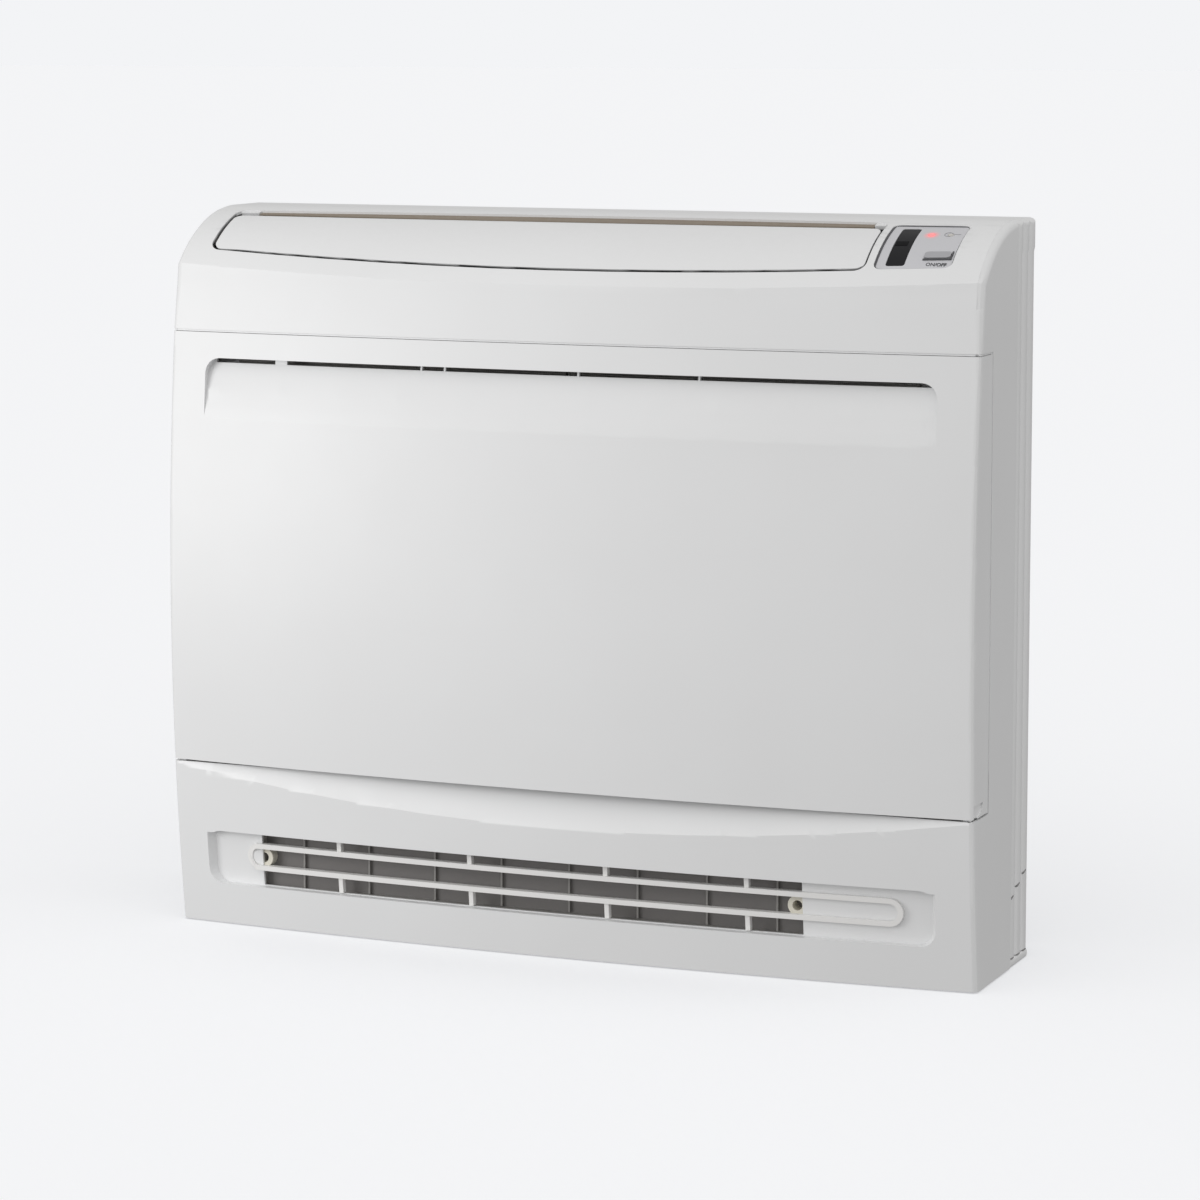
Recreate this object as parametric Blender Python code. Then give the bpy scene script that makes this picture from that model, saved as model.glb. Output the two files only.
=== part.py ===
"""Floor standing air conditioner: a low bowed cabinet that stands against a wall.

The front is a tall shallow arc that also bows forward in plan. It turns over a
crease into a steep curved slope, which holds the upper vane and the display pad,
and ends in a narrow flat top. Metres, +Z up, front towards -Y, the origin on the
floor under the middle of the whole machine.
"""
import math

import bpy
import bmesh
from mathutils import Matrix, Vector

# Overall form
WIDTH = 0.700
HEIGHT = 0.600
DEPTH = 0.210
REAR_STANDOFF = 0.0375
TOP_BAND = 0.1005
TOP_SEAM = 0.0005
BOW = 0.014
FRONT_RADIUS = 2.034
FRONT_MID_Z = 0.280
CREASE_DROP = 0.044
CREASE_DIP = 0.010
TOP_FLAT = 0.045
CORNER = 0.006
COVER_LIFT = 0.001

# Walls and fits
WALL = 0.0025
SEAT_GAP = 0.0003
PANEL_GAP = 0.002
OVERLAP = 0.001
HAIR = 0.0001
PAST = 0.010
SLOPE_PAST = 0.003
SLOPE_DEEP = 0.012

# Front panel
PANEL_LOW_Z = 0.1405
PANEL_WALL = 0.0028
PANEL_RETURN = 0.0415
NOTCH_LENGTH = 0.022
NOTCH_HEIGHT = 0.0105
PANEL_AXIS_BACK = 0.005
PANEL_AXIS_UP = 0.005
PIN_RADIUS = 0.0018
PIN_PLAY = 0.0004
LUG_WIDTH = 0.004
LUG_FROM_SIDE = 0.032
SOCKET_WIDTH = 0.008
SOCKET_WALL = 0.0013
STEM_STEP = 0.0005
LUG_HEIGHT = 0.014

# Intake recess at the top of the panel
INTAKE_SIDE = 0.033
INTAKE_TOP_DROP = 0.021
INTAKE_HEIGHT = 0.0505
INTAKE_DEPTH = 0.009
INTAKE_FADE = 1.3
INTAKE_WALL = 0.0022
INTAKE_SLOT = 0.0042
INTAKE_CORNER = 0.013
INTAKE_RIB_SHARES = (-0.341, -0.281, 0.054, 0.347)
INTAKE_TAB_SHARE = -0.711
INTAKE_TAB_WIDTH = 0.011
RIB_WIDTH = 0.0015

# Frame, filters and coil behind the panel
FRAME_BEHIND = 0.01916
FRAME_SIDE = 0.0115
FRAME_OPENING_SIDE = 0.058
FRAME_OPENING_RISE = 0.0245
FRAME_OPENING_DROP = 0.0275
FRAME_LAP = 0.018
FRAME_BAR = 0.010
FLANGE = 0.018
FILTER_THICKNESS = 0.004
FILTER_RIM = 0.007
FILTER_MESH = 0.0012
FILTER_LAP = 0.004
FILTER_BAR = 0.003
COIL_THICKNESS = 0.023
COIL_LAP = 0.008
COIL_END = 0.010
COIL_PLATE_PROUD = 0.002
FAN_CASING_SIDE = 0.100
FAN_CASING_GAP = 0.0015
FAN_CASING_BELOW = 0.010
FAN_CASING_ABOVE = 0.020

# Scoop under the panel edge
SCOOP_TOP_BACK = 0.0055
SCOOP_HEIGHT = 0.0295
SCOOP_LEAN = 0.0123
SCOOP_LAP = 0.010

# Outlet recess and grille in the lower cover
RECESS_LEFT = 0.0275
RECESS_RIGHT = 0.030
RECESS_LOW_Z = 0.0355
RECESS_HIGH_Z = 0.081
RECESS_TAPER = 0.006
RECESS_DEPTH = 0.008
RECESS_CORNER = 0.013
RECESS_TOP_CORNER = 0.002
OUTLET_LEFT = 0.078
OUTLET_RIGHT = 0.142
RAIL_LEFT = 0.064
RAIL_RIGHT = 0.059
RAIL_LOW_Z = 0.049
RAIL_HIGH_Z = 0.072
RAIL_WIDTH = 0.0043
RAIL_PROUD = 0.0035
GRILLE_BACK = 0.0035
GRILLE_RIB_WIDTH = 0.0038
GRILLE_RIB_SUNK = 0.0015
GRILLE_RIB_FIRST = 0.0744
GRILLE_RIBS = 4
OUTLET_RIM = 0.0005
DUCT_WALL = 0.002
LOWER_DUCT_BACK = 0.075
LOWER_DUCT_MOUTH = 0.026
LOWER_DUCT_BEND = 0.014
LOWER_DUCT_NECK = 0.030
LOWER_DUCT_SIDE = 0.0015
BEND_STEPS = 4
BLADE_COUNT = 8
BLADE_END = 0.030
BLADE_THICKNESS = 0.0015
BLADE_LENGTH = 0.024
BLADE_TILT = math.radians(24)
BLADE_LINK = 0.004
BLADE_SETBACK = 0.028
BOSS_RADIUS = 0.0065
BOSS_BORE = 0.0033
BOSS_INSET = 0.0082
BOSS_FLOOR = 0.004

# Upper outlet and vane, placed as shares of the slope's arc from the flat top
VANE_LEFT = 0.0295
VANE_RIGHT = 0.100
VANE_LOW_SHARE = 0.865
VANE_LOW_RISE = 0.326
VANE_LOW_MID_X = 0.020
VANE_HIGH_SHARE = 0.350
VANE_HIGH_FALL = 0.25
VANE_THICKNESS = 0.003
VANE_SUNK = 0.0001
VANE_CORNER = 0.007
VANE_GAP_LEFT = 0.0035
VANE_GAP_RIGHT = 0.0015
VANE_GAP_LOW = 0.002
OUTLET_HIGH_SHARE = 0.200
OUTLET_HIGH_FALL = 0.6
VANE_AXIS_ALONG = 0.0085
VANE_AXIS_DEEP = 0.0058
VANE_PIN_RADIUS = 0.0016
VANE_CHEEK = 0.003
VANE_CHEEK_HALF = 0.0032
VANE_CHEEK_INSET = 0.0015
UPPER_DUCT_DROP = 0.088
UPPER_DUCT_THROAT = 0.036
UPPER_DUCT_AHEAD = 0.010
UPPER_DUCT_LIP = 0.008
UPPER_DUCT_LIP_DROP = 0.012
UPPER_DUCT_BEHIND = 0.012
UPPER_DUCT_REAR_HIGH = 0.002
UPPER_DUCT_REAR_MID = 0.006
UPPER_DUCT_REAR_RISE = 0.030
SHELF_DROP = 0.0645

# Display pad on the slope, at the right of the vane
PAD_LEFT = 0.092
PAD_RIGHT = 0.0305
PAD_HIGH_SHARE = 0.290
PAD_LOW_SHARE = 0.848
PAD_CORNER = 0.006
PAD_SUNK = 0.0008
PAD_THICKNESS = 0.0032
PAD_GAP = 0.0006
WINDOW_LEFT = 0.0832
WINDOW_RIGHT = 0.0685
WINDOW_HIGH_SHARE = 0.350
WINDOW_LOW_SHARE = 0.815
WINDOW_THICKNESS = 0.0022
WINDOW_CORNER = 0.002
WINDOW_SUNK = 0.0002
LAMP_FROM_SIDE = 0.0574
LAMP_SPACING = 0.0155
LAMP_SHARE = 0.448
LAMP_RADIUS = 0.0024
LAMP_PROUD = 0.0002
BUTTON_LEFT = 0.0545
BUTTON_RIGHT = 0.0335
BUTTON_HIGH_SHARE = 0.655
BUTTON_LOW_SHARE = 0.765
BUTTON_CORNER = 0.0035
BUTTON_PROUD = 0.0014
BUTTON_PLAY = 0.0004
BUTTON_TRAVEL = 0.001
BOARD_THICKNESS = 0.0016
BOARD_GAP = 0.0008
BOARD_INSET = 0.003

# Ridged mouldings at the rear of the sides
RIDGE_START = 0.050
RIDGE_COUNT = 3
RIDGE_GROOVE = 0.0022
RIDGE_CAP_DROP = 0.027
RIDGE_CAP_PROUD = 0.0008
RIDGE_CAP_EASE = 0.004
RIDGE_STEPS = 5
MOULDING_WALL = 0.0025
REAR_FLANGE = 0.0155
SLIT_COUNT = 3
SLIT_FROM_REAR = 0.0107
SLIT_PITCH = 0.017
SLIT_HIGH_Z = 0.0722
SLIT_FALL = 0.0073
SLIT_LENGTH = 0.009
SLIT_WIDTH = 0.0014
SLIT_TILT = math.radians(15)

# Rear frame, base and feet
REAR_INSET = 0.016
REAR_TOP_DROP = 0.006
REAR_WALL = 0.0025
REAR_BORDER = 0.020
REAR_LIP_DROP = 0.020
PIPE_OPENING_WIDTH = 0.085
PIPE_OPENING_HEIGHT = 0.070
PIPE_OPENING_FROM_SIDE = 0.060
PIPE_OPENING_LOW_Z = 0.045
HOOK_SLOT_WIDTH = 0.030
HOOK_SLOT_HEIGHT = 0.008
HOOK_SLOT_OFFSET = 0.170
HOOK_SLOT_DROP = 0.040
BASE_THICKNESS = 0.006
BASE_CORNER = 0.002
FOOT_LENGTH = 0.0495
FOOT_HEIGHT = 0.015
FOOT_WIDTH = 0.014
FOOT_SUNK = 0.0005

# Facets
STATIONS = 12
FRONT_STEPS = 8
ARC_STEPS = 8
CORNER_STEPS = 3
PATCH_STEPS = 6
ROUND_SIDES = 20
PIN_SIDES = 16
BORE_SIDES = 12
FULLEST = 0.97

HALF = WIDTH / 2
FRONT_END_Y = -DEPTH / 2 + BOW
WALL_Y = DEPTH / 2
COVER_REAR_Y = WALL_Y - REAR_STANDOFF
FLAT_Y = COVER_REAR_Y - TOP_FLAT
PANEL_HIGH_Z = HEIGHT - TOP_BAND
PANEL_RETURN_Y = FRONT_END_Y + PANEL_RETURN
INTAKE_HIGH_Z = PANEL_HIGH_Z - INTAKE_TOP_DROP
INTAKE_LOW_Z = INTAKE_HIGH_Z - INTAKE_HEIGHT
FRAME_OPENING_LOW_Z = PANEL_LOW_Z + FRAME_OPENING_RISE
FRAME_OPENING_HIGH_Z = PANEL_HIGH_Z - FRAME_OPENING_DROP
SHELF_Z = HEIGHT - SHELF_DROP
SPLIT_X = HALF - CORNER
BIG = 2.0

parts = None
cutters = None


# Surfaces of the outer form

def bow_at(x):
    """How far the front stands forward of its ends at this place across the width."""
    return BOW * (1 - (x / HALF) ** 2)


def front_y(x, z):
    """The front face: a tall arc, pushed forward by the bow."""
    return FRONT_END_Y + (z - FRONT_MID_Z) ** 2 / (2 * FRONT_RADIUS) - bow_at(x)


FRAME_Y = front_y(HALF, PANEL_HIGH_Z) + FRAME_BEHIND


def slope_arc(x):
    """Angle and radius of the arc from the flat top down to the crease."""
    crease_z = HEIGHT - CREASE_DROP - CREASE_DIP * (1 - (x / HALF) ** 2)
    across = FLAT_Y - front_y(x, crease_z)
    down = HEIGHT - crease_z
    angle = 2 * math.atan2(down, across)
    return angle, across / math.sin(angle)


def slope_centre(x):
    """Centre of the slope's arc."""
    return Vector((x, FLAT_Y, HEIGHT - slope_arc(x)[1]))


def on_front(x, z, inset):
    """A point of the front face, set back by inset."""
    return Vector((x, front_y(x, z) + inset, z))


def on_slope(x, share, inset):
    """A point of the slope at a share of its arc, set in by inset."""
    angle, radius = slope_arc(x)
    turn = angle * share
    reach = radius - inset
    return Vector((x, FLAT_Y - reach * math.sin(turn), HEIGHT - radius + reach * math.cos(turn)))


def section(x, inset, low_z, rear_y):
    """Closed outline of the cabinet at one place across the width, as (y, z) points."""
    angle, radius = slope_arc(x)
    reach = radius - inset
    end_z = HEIGHT - radius + reach * math.cos(angle)
    points = []
    for step in range(FRONT_STEPS):
        z = low_z + (end_z - low_z) * step / FRONT_STEPS
        points.append((front_y(x, z) + inset, z))
    for step in range(ARC_STEPS + 1):
        turn = angle * (1 - step / ARC_STEPS)
        points.append((FLAT_Y - reach * math.sin(turn), HEIGHT - radius + reach * math.cos(turn)))
    points.append((rear_y, HEIGHT - inset))
    points.append((rear_y, low_z))
    return points


# Objects and modelling helpers

def keep(name, mesh, collection):
    """Link a mesh into the scene under its name."""
    item = bpy.data.objects.new(name, mesh)
    collection.objects.link(item)
    if collection is cutters:
        item.hide_render = True
        item.display_type = 'WIRE'
    return item


def finish_mesh(name, work, collection):
    """Turn the faces outwards and store the shape."""
    bmesh.ops.recalc_face_normals(work, faces=work.faces)
    mesh = bpy.data.meshes.new(name)
    work.to_mesh(mesh)
    work.free()
    return keep(name, mesh, collection)


def loft(name, rings, collection):
    """Skin a row of rings that have equal numbers of points, and cap both ends."""
    work = bmesh.new()
    rows = [[work.verts.new(point) for point in ring] for ring in rings]
    count = len(rows[0])
    for row, after in zip(rows, rows[1:]):
        for index in range(count):
            following = (index + 1) % count
            work.faces.new((row[index], row[following], after[following], after[index]))
    work.faces.new(rows[0])
    work.faces.new(rows[-1])
    return finish_mesh(name, work, collection)


def cabinet_form(name, inset, low_z, rear_y, collection):
    """The whole outer form of the cabinet, set in by inset, with rounded side edges."""
    half = HALF - inset
    radius = max(CORNER - inset, OVERLAP)
    stations = []
    for step in range(CORNER_STEPS):
        turn = math.radians(90) * (1 - step / CORNER_STEPS)
        stations.append((half - radius + radius * math.sin(turn), radius - radius * math.cos(turn)))
    places = [(-x, more) for x, more in stations]
    flat = half - radius
    for step in range(STATIONS + 1):
        places.append((-flat + 2 * flat * step / STATIONS, 0))
    places += [(x, more) for x, more in reversed(stations)]
    rings = []
    for x, more in places:
        outline = section(x, inset + more, low_z, rear_y)
        rings.append([(x, y, z) for y, z in outline])
    return loft(name, rings, collection)


def box(name, low, high, collection):
    """A block between two corners."""
    low = Vector(low)
    high = Vector(high)
    work = bmesh.new()
    size = Matrix.Diagonal((*(high - low), 1))
    bmesh.ops.create_cube(work, size=1, matrix=Matrix.Translation((low + high) / 2) @ size)
    return finish_mesh(name, work, collection)


def rod(name, start, end, radius, collection, sides=ROUND_SIDES):
    """A round bar between two points."""
    start = Vector(start)
    end = Vector(end)
    turn = Vector((0, 0, 1)).rotation_difference(end - start).to_matrix().to_4x4()
    work = bmesh.new()
    place = Matrix.Translation((start + end) / 2) @ turn
    bmesh.ops.create_cone(work, cap_ends=True, segments=sides, radius1=radius, radius2=radius,
                          depth=(end - start).length, matrix=place)
    return finish_mesh(name, work, collection)


def prism(name, outline, low_x, high_x, collection):
    """An outline of (y, z) points drawn out along X."""
    rings = [[(x, y, z) for y, z in outline] for x in (low_x, high_x)]
    return loft(name, rings, collection)


def boolean(item, other, operation):
    """Add one Boolean step to an object."""
    step = item.modifiers.new(operation.lower(), 'BOOLEAN')
    step.operation = operation
    step.object = other
    step.solver = 'EXACT'


def cut(item, *others):
    """Take cutters away from an object."""
    for other in others:
        boolean(item, other, 'DIFFERENCE')


def join(item, *others):
    """Fuse helper shapes into an object."""
    for other in others:
        boolean(item, other, 'UNION')


def trim(item, other):
    """Keep only what lies inside another shape."""
    boolean(item, other, 'INTERSECT')


def spread(low, high, count):
    """Evenly spaced values, both ends included."""
    return [low + (high - low) * step / (count - 1) for step in range(count)]


def rounded_columns(low_x, high_x, corner, columns):
    """Places across a patch, with more of them in its rounded ends."""
    turns = [math.radians(90) * step / PATCH_STEPS for step in range(PATCH_STEPS)]
    left = [low_x + corner * (1 - math.cos(turn)) for turn in turns]
    right = [high_x - corner * (1 - math.cos(turn)) for turn in reversed(turns)]
    return left + spread(low_x + corner, high_x - corner, columns) + right


def pinch(x, low_x, high_x, corner):
    """How far a rounded patch's edge is drawn in near its ends."""
    near = min(x - low_x, high_x - x)
    if near >= corner:
        return 0.0
    return corner - math.sqrt(max(corner ** 2 - (corner - near) ** 2, 0))


def patch(name, surface, columns, edges, insets, rows, collection):
    """A slab that follows a surface between two edges and two depths."""
    rings = []
    for x in columns:
        first, last = edges(x)
        values = spread(first, last, rows)
        outer = [surface(x, value, insets(value)[0]) for value in values]
        inner = [surface(x, value, insets(value)[1]) for value in reversed(values)]
        rings.append(outer + inner)
    return loft(name, rings, collection)


def depth_pair(outer, inner):
    """Constant depths for a patch."""
    return lambda value: (outer, inner)


def slope_patch(name, ends, shares, corner, grow, depths, collection, columns=3):
    """A rounded slab on the slope, grown all round, its edges given as shares of the arc."""
    low_x = ends[0] - grow
    high_x = ends[1] + grow
    rounding = corner + grow

    def edges(x):
        angle, radius = slope_arc(x)
        drawn = min(pinch(x, low_x, high_x, rounding), rounding * FULLEST) - grow
        share = drawn / (angle * radius)
        return shares[0](x) + share, shares[1](x) - share

    places = rounded_columns(low_x, high_x, rounding, columns)
    return patch(name, on_slope, places, edges, depth_pair(*depths), ARC_STEPS, collection)


def constant(value):
    """A level that is the same all across."""
    return lambda x: value


# Materials

def finish(name, colour, roughness, metallic=0.0):
    """A plain surface with its own colour."""
    made = bpy.data.materials.new(name)
    made.use_nodes = True
    shader = made.node_tree.nodes['Principled BSDF']
    shader.inputs['Base Color'].default_value = (*colour, 1)
    shader.inputs['Roughness'].default_value = roughness
    shader.inputs['Metallic'].default_value = metallic
    return made


def dress(item, made):
    """Give an object its finish."""
    item.data.materials.clear()
    item.data.materials.append(made)
    return item


# Cabinet covers

def upper_skin(name, forms):
    """The outer skin of the whole cabinet, from which both upper covers are taken."""
    skin = cabinet_form(name, 0, COVER_LIFT, COVER_REAR_Y, parts)
    cut(skin, forms['wall'])
    return skin


def top_zone(name, ahead):
    """All that lies behind the outlet's upper edge, where the flat top begins."""
    low_x, high_x = outlet_ends()
    rings = []
    rear_y = COVER_REAR_Y + PAST
    base_z = HEIGHT - TOP_BAND
    roof_z = HEIGHT + PAST
    for x in spread(-HALF - PAST, HALF + PAST, 2 * STATIONS + 1):
        near = min(max(x, low_x), high_x)
        y = on_slope(near, outlet_high(near), 0).y - ahead
        rings.append([(x, y, base_z), (x, rear_y, base_z), (x, rear_y, roof_z), (x, y, roof_z)])
    return loft(name, rings, cutters)


def make_top_cover(forms, surface):
    """Flat top with its rear lip, as far forward as the outlet's upper edge."""
    cover = upper_skin('top_cover', forms)
    low_z = HEIGHT - REAR_LIP_DROP
    trim(cover, box('top_cover_bounds', (-SPLIT_X + SEAT_GAP, -DEPTH, low_z),
                    (SPLIT_X - SEAT_GAP, DEPTH, HEIGHT + PAST), cutters))
    trim(cover, top_zone('top_zone', TOP_SEAM))
    cut(cover, outlet_patch())
    lip_x = HALF - REAR_FLANGE - SEAT_GAP
    join(cover, box('top_cover_rear_lip', (-lip_x, COVER_REAR_Y - WALL, low_z),
                    (lip_x, COVER_REAR_Y - HAIR, HEIGHT - WALL / 2), cutters))
    return dress(cover, surface)


def make_slope_cover(forms, surface):
    """Slope and crease strip round the vane and the display pad, with the shelf behind the crease."""
    cover = upper_skin('slope_cover', forms)
    low_z = PANEL_HIGH_Z + PANEL_GAP
    flange = box('slope_cover_flange', (-SPLIT_X, -BIG, low_z - WALL),
                 (SPLIT_X, FRAME_Y - SEAT_GAP, low_z + WALL), cutters)
    trim(flange, forms['core'])
    shelf_back = upper_duct_front()[0][0] - SEAT_GAP
    shelf = box('slope_cover_shelf', (-SPLIT_X, -BIG, SHELF_Z), (SPLIT_X, shelf_back, SHELF_Z + WALL),
                cutters)
    trim(shelf, forms['core'])
    join(cover, flange, shelf)
    trim(cover, box('slope_cover_bounds', (-SPLIT_X + SEAT_GAP, -BIG, low_z),
                    (SPLIT_X - SEAT_GAP, BIG, BIG), cutters))
    cut(cover, top_zone('slope_end', TOP_SEAM + SEAT_GAP), outlet_patch())
    cut(cover, pad_patch('pad_opening', PAD_GAP, -SLOPE_PAST, SLOPE_DEEP, cutters))
    return dress(cover, surface)


def make_lower_cover(forms, surface):
    """Lower front with the scoop under the panel edge and the outlet recess."""
    cover = cabinet_form('lower_cover', 0, COVER_LIFT, COVER_REAR_Y, parts)
    cut(cover, forms['wall'])
    high_z = PANEL_LOW_Z - PANEL_GAP
    lean = SCOOP_LEAN / SCOOP_HEIGHT
    top_y = FRONT_END_Y + SCOOP_TOP_BACK
    low_z = high_z - SCOOP_HEIGHT - SCOOP_LAP

    def scoop_y(z):
        return top_y - (high_z - z) * lean

    top_z = high_z + OVERLAP
    lining = prism('scoop_lining', [(scoop_y(low_z) - OVERLAP, low_z), (scoop_y(top_z) - OVERLAP, top_z),
                                    (scoop_y(top_z) + WALL, top_z), (scoop_y(low_z) + WALL, low_z)],
                   -SPLIT_X, SPLIT_X, cutters)
    trim(lining, forms['core'])
    flange = box('lower_cover_flange', (-SPLIT_X, top_y - OVERLAP, high_z - WALL),
                 (SPLIT_X, FRAME_Y - SEAT_GAP, top_z), cutters)
    join(cover, lining, flange, recess_patch('recess_tray', WALL, OVERLAP, RECESS_DEPTH + WALL))
    far_low = low_z - SCOOP_HEIGHT
    far_high = high_z + PAST
    scoop = prism('scoop', [(-BIG, far_low), (scoop_y(far_low), far_low),
                            (scoop_y(far_high), far_high), (-BIG, far_high)], -BIG, BIG, cutters)
    cut(cover, scoop, recess_patch('recess', 0, -SLOPE_PAST, RECESS_DEPTH))
    outlet = box('outlet', (outlet_left(), -BIG, RECESS_LOW_Z + OUTLET_RIM),
                 (outlet_right(), FRAME_Y, RECESS_HIGH_Z - OUTLET_RIM), cutters)
    trim(outlet, cabinet_form('outlet_limit', RECESS_DEPTH - OVERLAP, -PAST, COVER_REAR_Y, cutters))
    cut(cover, outlet)
    trim(cover, box('lower_cover_bounds', (-SPLIT_X + SEAT_GAP, -BIG, 0),
                    (SPLIT_X - SEAT_GAP, FRAME_Y + WALL, high_z), cutters))
    return dress(cover, surface)


def make_side_wall(side, forms, surface):
    """One smooth side in front of the ridges, with the rounded rim and the panel's rebate."""
    name = 'side_wall_left' if side < 0 else 'side_wall_right'
    wall = cabinet_form(name, 0, COVER_LIFT, COVER_REAR_Y, parts)
    cut(wall, forms['wall'])
    ledge_y = PANEL_RETURN_Y + PANEL_GAP
    inner = HALF - FRAME_SIDE + SEAT_GAP
    ledge = side_box(name + '_ledge', side, (inner, ledge_y + HAIR, PANEL_LOW_Z - FRAME_LAP),
                     (HALF - WALL / 2, ledge_y + WALL, PANEL_HIGH_Z + FRAME_LAP), cutters)
    trim(wall, side_box(name + '_bounds', side, (SPLIT_X, -BIG, 0), (BIG, ridge_y(), BIG), cutters))
    cut(wall, side_box(name + '_rebate', side, (SPLIT_X - PAST, -BIG, PANEL_LOW_Z - PANEL_GAP),
                       (BIG, ledge_y, PANEL_HIGH_Z + PANEL_GAP), cutters))
    join(wall, ledge)
    return dress(wall, surface)


def ridge_outline(proud):
    """One level of the ridged strip as (x, y) points: inner face, convex ridges and rear flange."""
    start = ridge_y() + SEAT_GAP
    floor = HALF - RIDGE_CAP_PROUD + proud - RIDGE_GROOVE
    inner = HALF - RIDGE_CAP_PROUD - RIDGE_GROOVE - MOULDING_WALL
    pitch = (COVER_REAR_Y - start) / RIDGE_COUNT
    outline = [(inner, start), (floor, start)]
    for index in range(RIDGE_COUNT):
        for step in range(1, RIDGE_STEPS + 1):
            turn = math.radians(180) * step / RIDGE_STEPS
            along = start + pitch * (index + (1 - math.cos(turn)) / 2)
            outline.append((floor + RIDGE_GROOVE * math.sin(turn), along))
    outline.append((HALF - REAR_FLANGE, COVER_REAR_Y))
    outline.append((HALF - REAR_FLANGE, COVER_REAR_Y - WALL))
    outline.append((inner, COVER_REAR_Y - WALL))
    return outline


def make_side_moulding(side, forms, surface):
    """The ridged rear strip of one side, prouder at its top, with its flange and its slits."""
    name = 'side_moulding_left' if side < 0 else 'side_moulding_right'
    cap_z = HEIGHT - RIDGE_CAP_DROP
    levels = ((FOOT_HEIGHT + SEAT_GAP, 0), (cap_z, 0), (cap_z + RIDGE_CAP_EASE, RIDGE_CAP_PROUD),
              (HEIGHT, RIDGE_CAP_PROUD))
    rings = [[(side * x, y, z) for x, y in ridge_outline(proud)] for z, proud in levels]
    moulding = loft(name, rings, parts)
    join(moulding, side_box(name + '_cap', side, (SPLIT_X, ridge_y() + SEAT_GAP, HEIGHT - WALL),
                            (HALF, COVER_REAR_Y, HEIGHT), cutters))
    trim(moulding, forms['moulding'])
    cut(moulding, side_box(name + '_head', side, (0, ridge_y(), HEIGHT - WALL - SEAT_GAP),
                           (SPLIT_X, BIG, BIG), cutters))
    for index in range(SLIT_COUNT):
        slit = box(name + '_slit_%d' % index, (-PAST, -SLIT_LENGTH / 2, -SLIT_WIDTH / 2),
                   (PAST, SLIT_LENGTH / 2, SLIT_WIDTH / 2), cutters)
        slit.location = (side * HALF, COVER_REAR_Y - SLIT_FROM_REAR - index * SLIT_PITCH,
                         SLIT_HIGH_Z - index * SLIT_FALL)
        slit.rotation_euler = (SLIT_TILT, 0, 0)
        cut(moulding, slit)
    return dress(moulding, surface)


def side_box(name, side, low, high, collection):
    """A block given for the right side, mirrored for the left."""
    first = side * low[0]
    last = side * high[0]
    return box(name, (min(first, last), low[1], low[2]), (max(first, last), high[1], high[2]), collection)


def ridge_y():
    """Where the smooth side ends and the ridges begin."""
    return COVER_REAR_Y - RIDGE_START


# Outlet recess, grille and lower duct

def outlet_left():
    return -HALF + OUTLET_LEFT


def outlet_right():
    return HALF - OUTLET_RIGHT


def recess_patch(name, grow, outer, inner):
    """The outlet recess as a slab on the front, tapered towards its floor."""
    low_x = -HALF + RECESS_LEFT - grow
    high_x = HALF - RECESS_RIGHT + grow
    corner = RECESS_CORNER + grow
    middle = (low_x + high_x) / 2
    narrow = 1 - RECESS_TAPER * inner / RECESS_DEPTH / (high_x - middle)
    rings = []
    for x in rounded_columns(low_x, high_x, corner, STATIONS):
        drawn = min(pinch(x, low_x, high_x, corner), corner * FULLEST)
        low_z = RECESS_LOW_Z - grow + drawn
        high_z = RECESS_HIGH_Z + grow - min(drawn, RECESS_TOP_CORNER)
        inner_x = middle + (x - middle) * narrow
        ring = [on_front(x, z, outer) for z in spread(low_z, high_z, 4)]
        ring += [on_front(inner_x, z, inner) for z in spread(high_z, low_z, 4)]
        rings.append(ring)
    return loft(name, rings, cutters)


def front_bar(name, low_x, high_x, low_z, high_z, outer, inner, collection, columns=STATIONS):
    """A bar with a square section that follows the front face."""
    return patch(name, on_front, spread(low_x, high_x, columns), lambda x: (low_z, high_z),
                 depth_pair(outer, inner), 2, collection)


def racetrack(name, shrink, depths, collection):
    """A long slab with round ends that follows the front, between the outer edges of the rails."""
    radius = (RAIL_HIGH_Z - RAIL_LOW_Z) / 2 - shrink
    mid_z = (RAIL_HIGH_Z + RAIL_LOW_Z) / 2
    low_x = -HALF + RAIL_LEFT + shrink
    high_x = HALF - RAIL_RIGHT - shrink

    def edges(x):
        half = radius - min(pinch(x, low_x, high_x, radius), radius * FULLEST)
        return mid_z - half, mid_z + half

    columns = rounded_columns(low_x, high_x, radius, 2 * STATIONS + 1)
    return patch(name, on_front, columns, edges, depth_pair(*depths), 2, collection)


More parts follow.
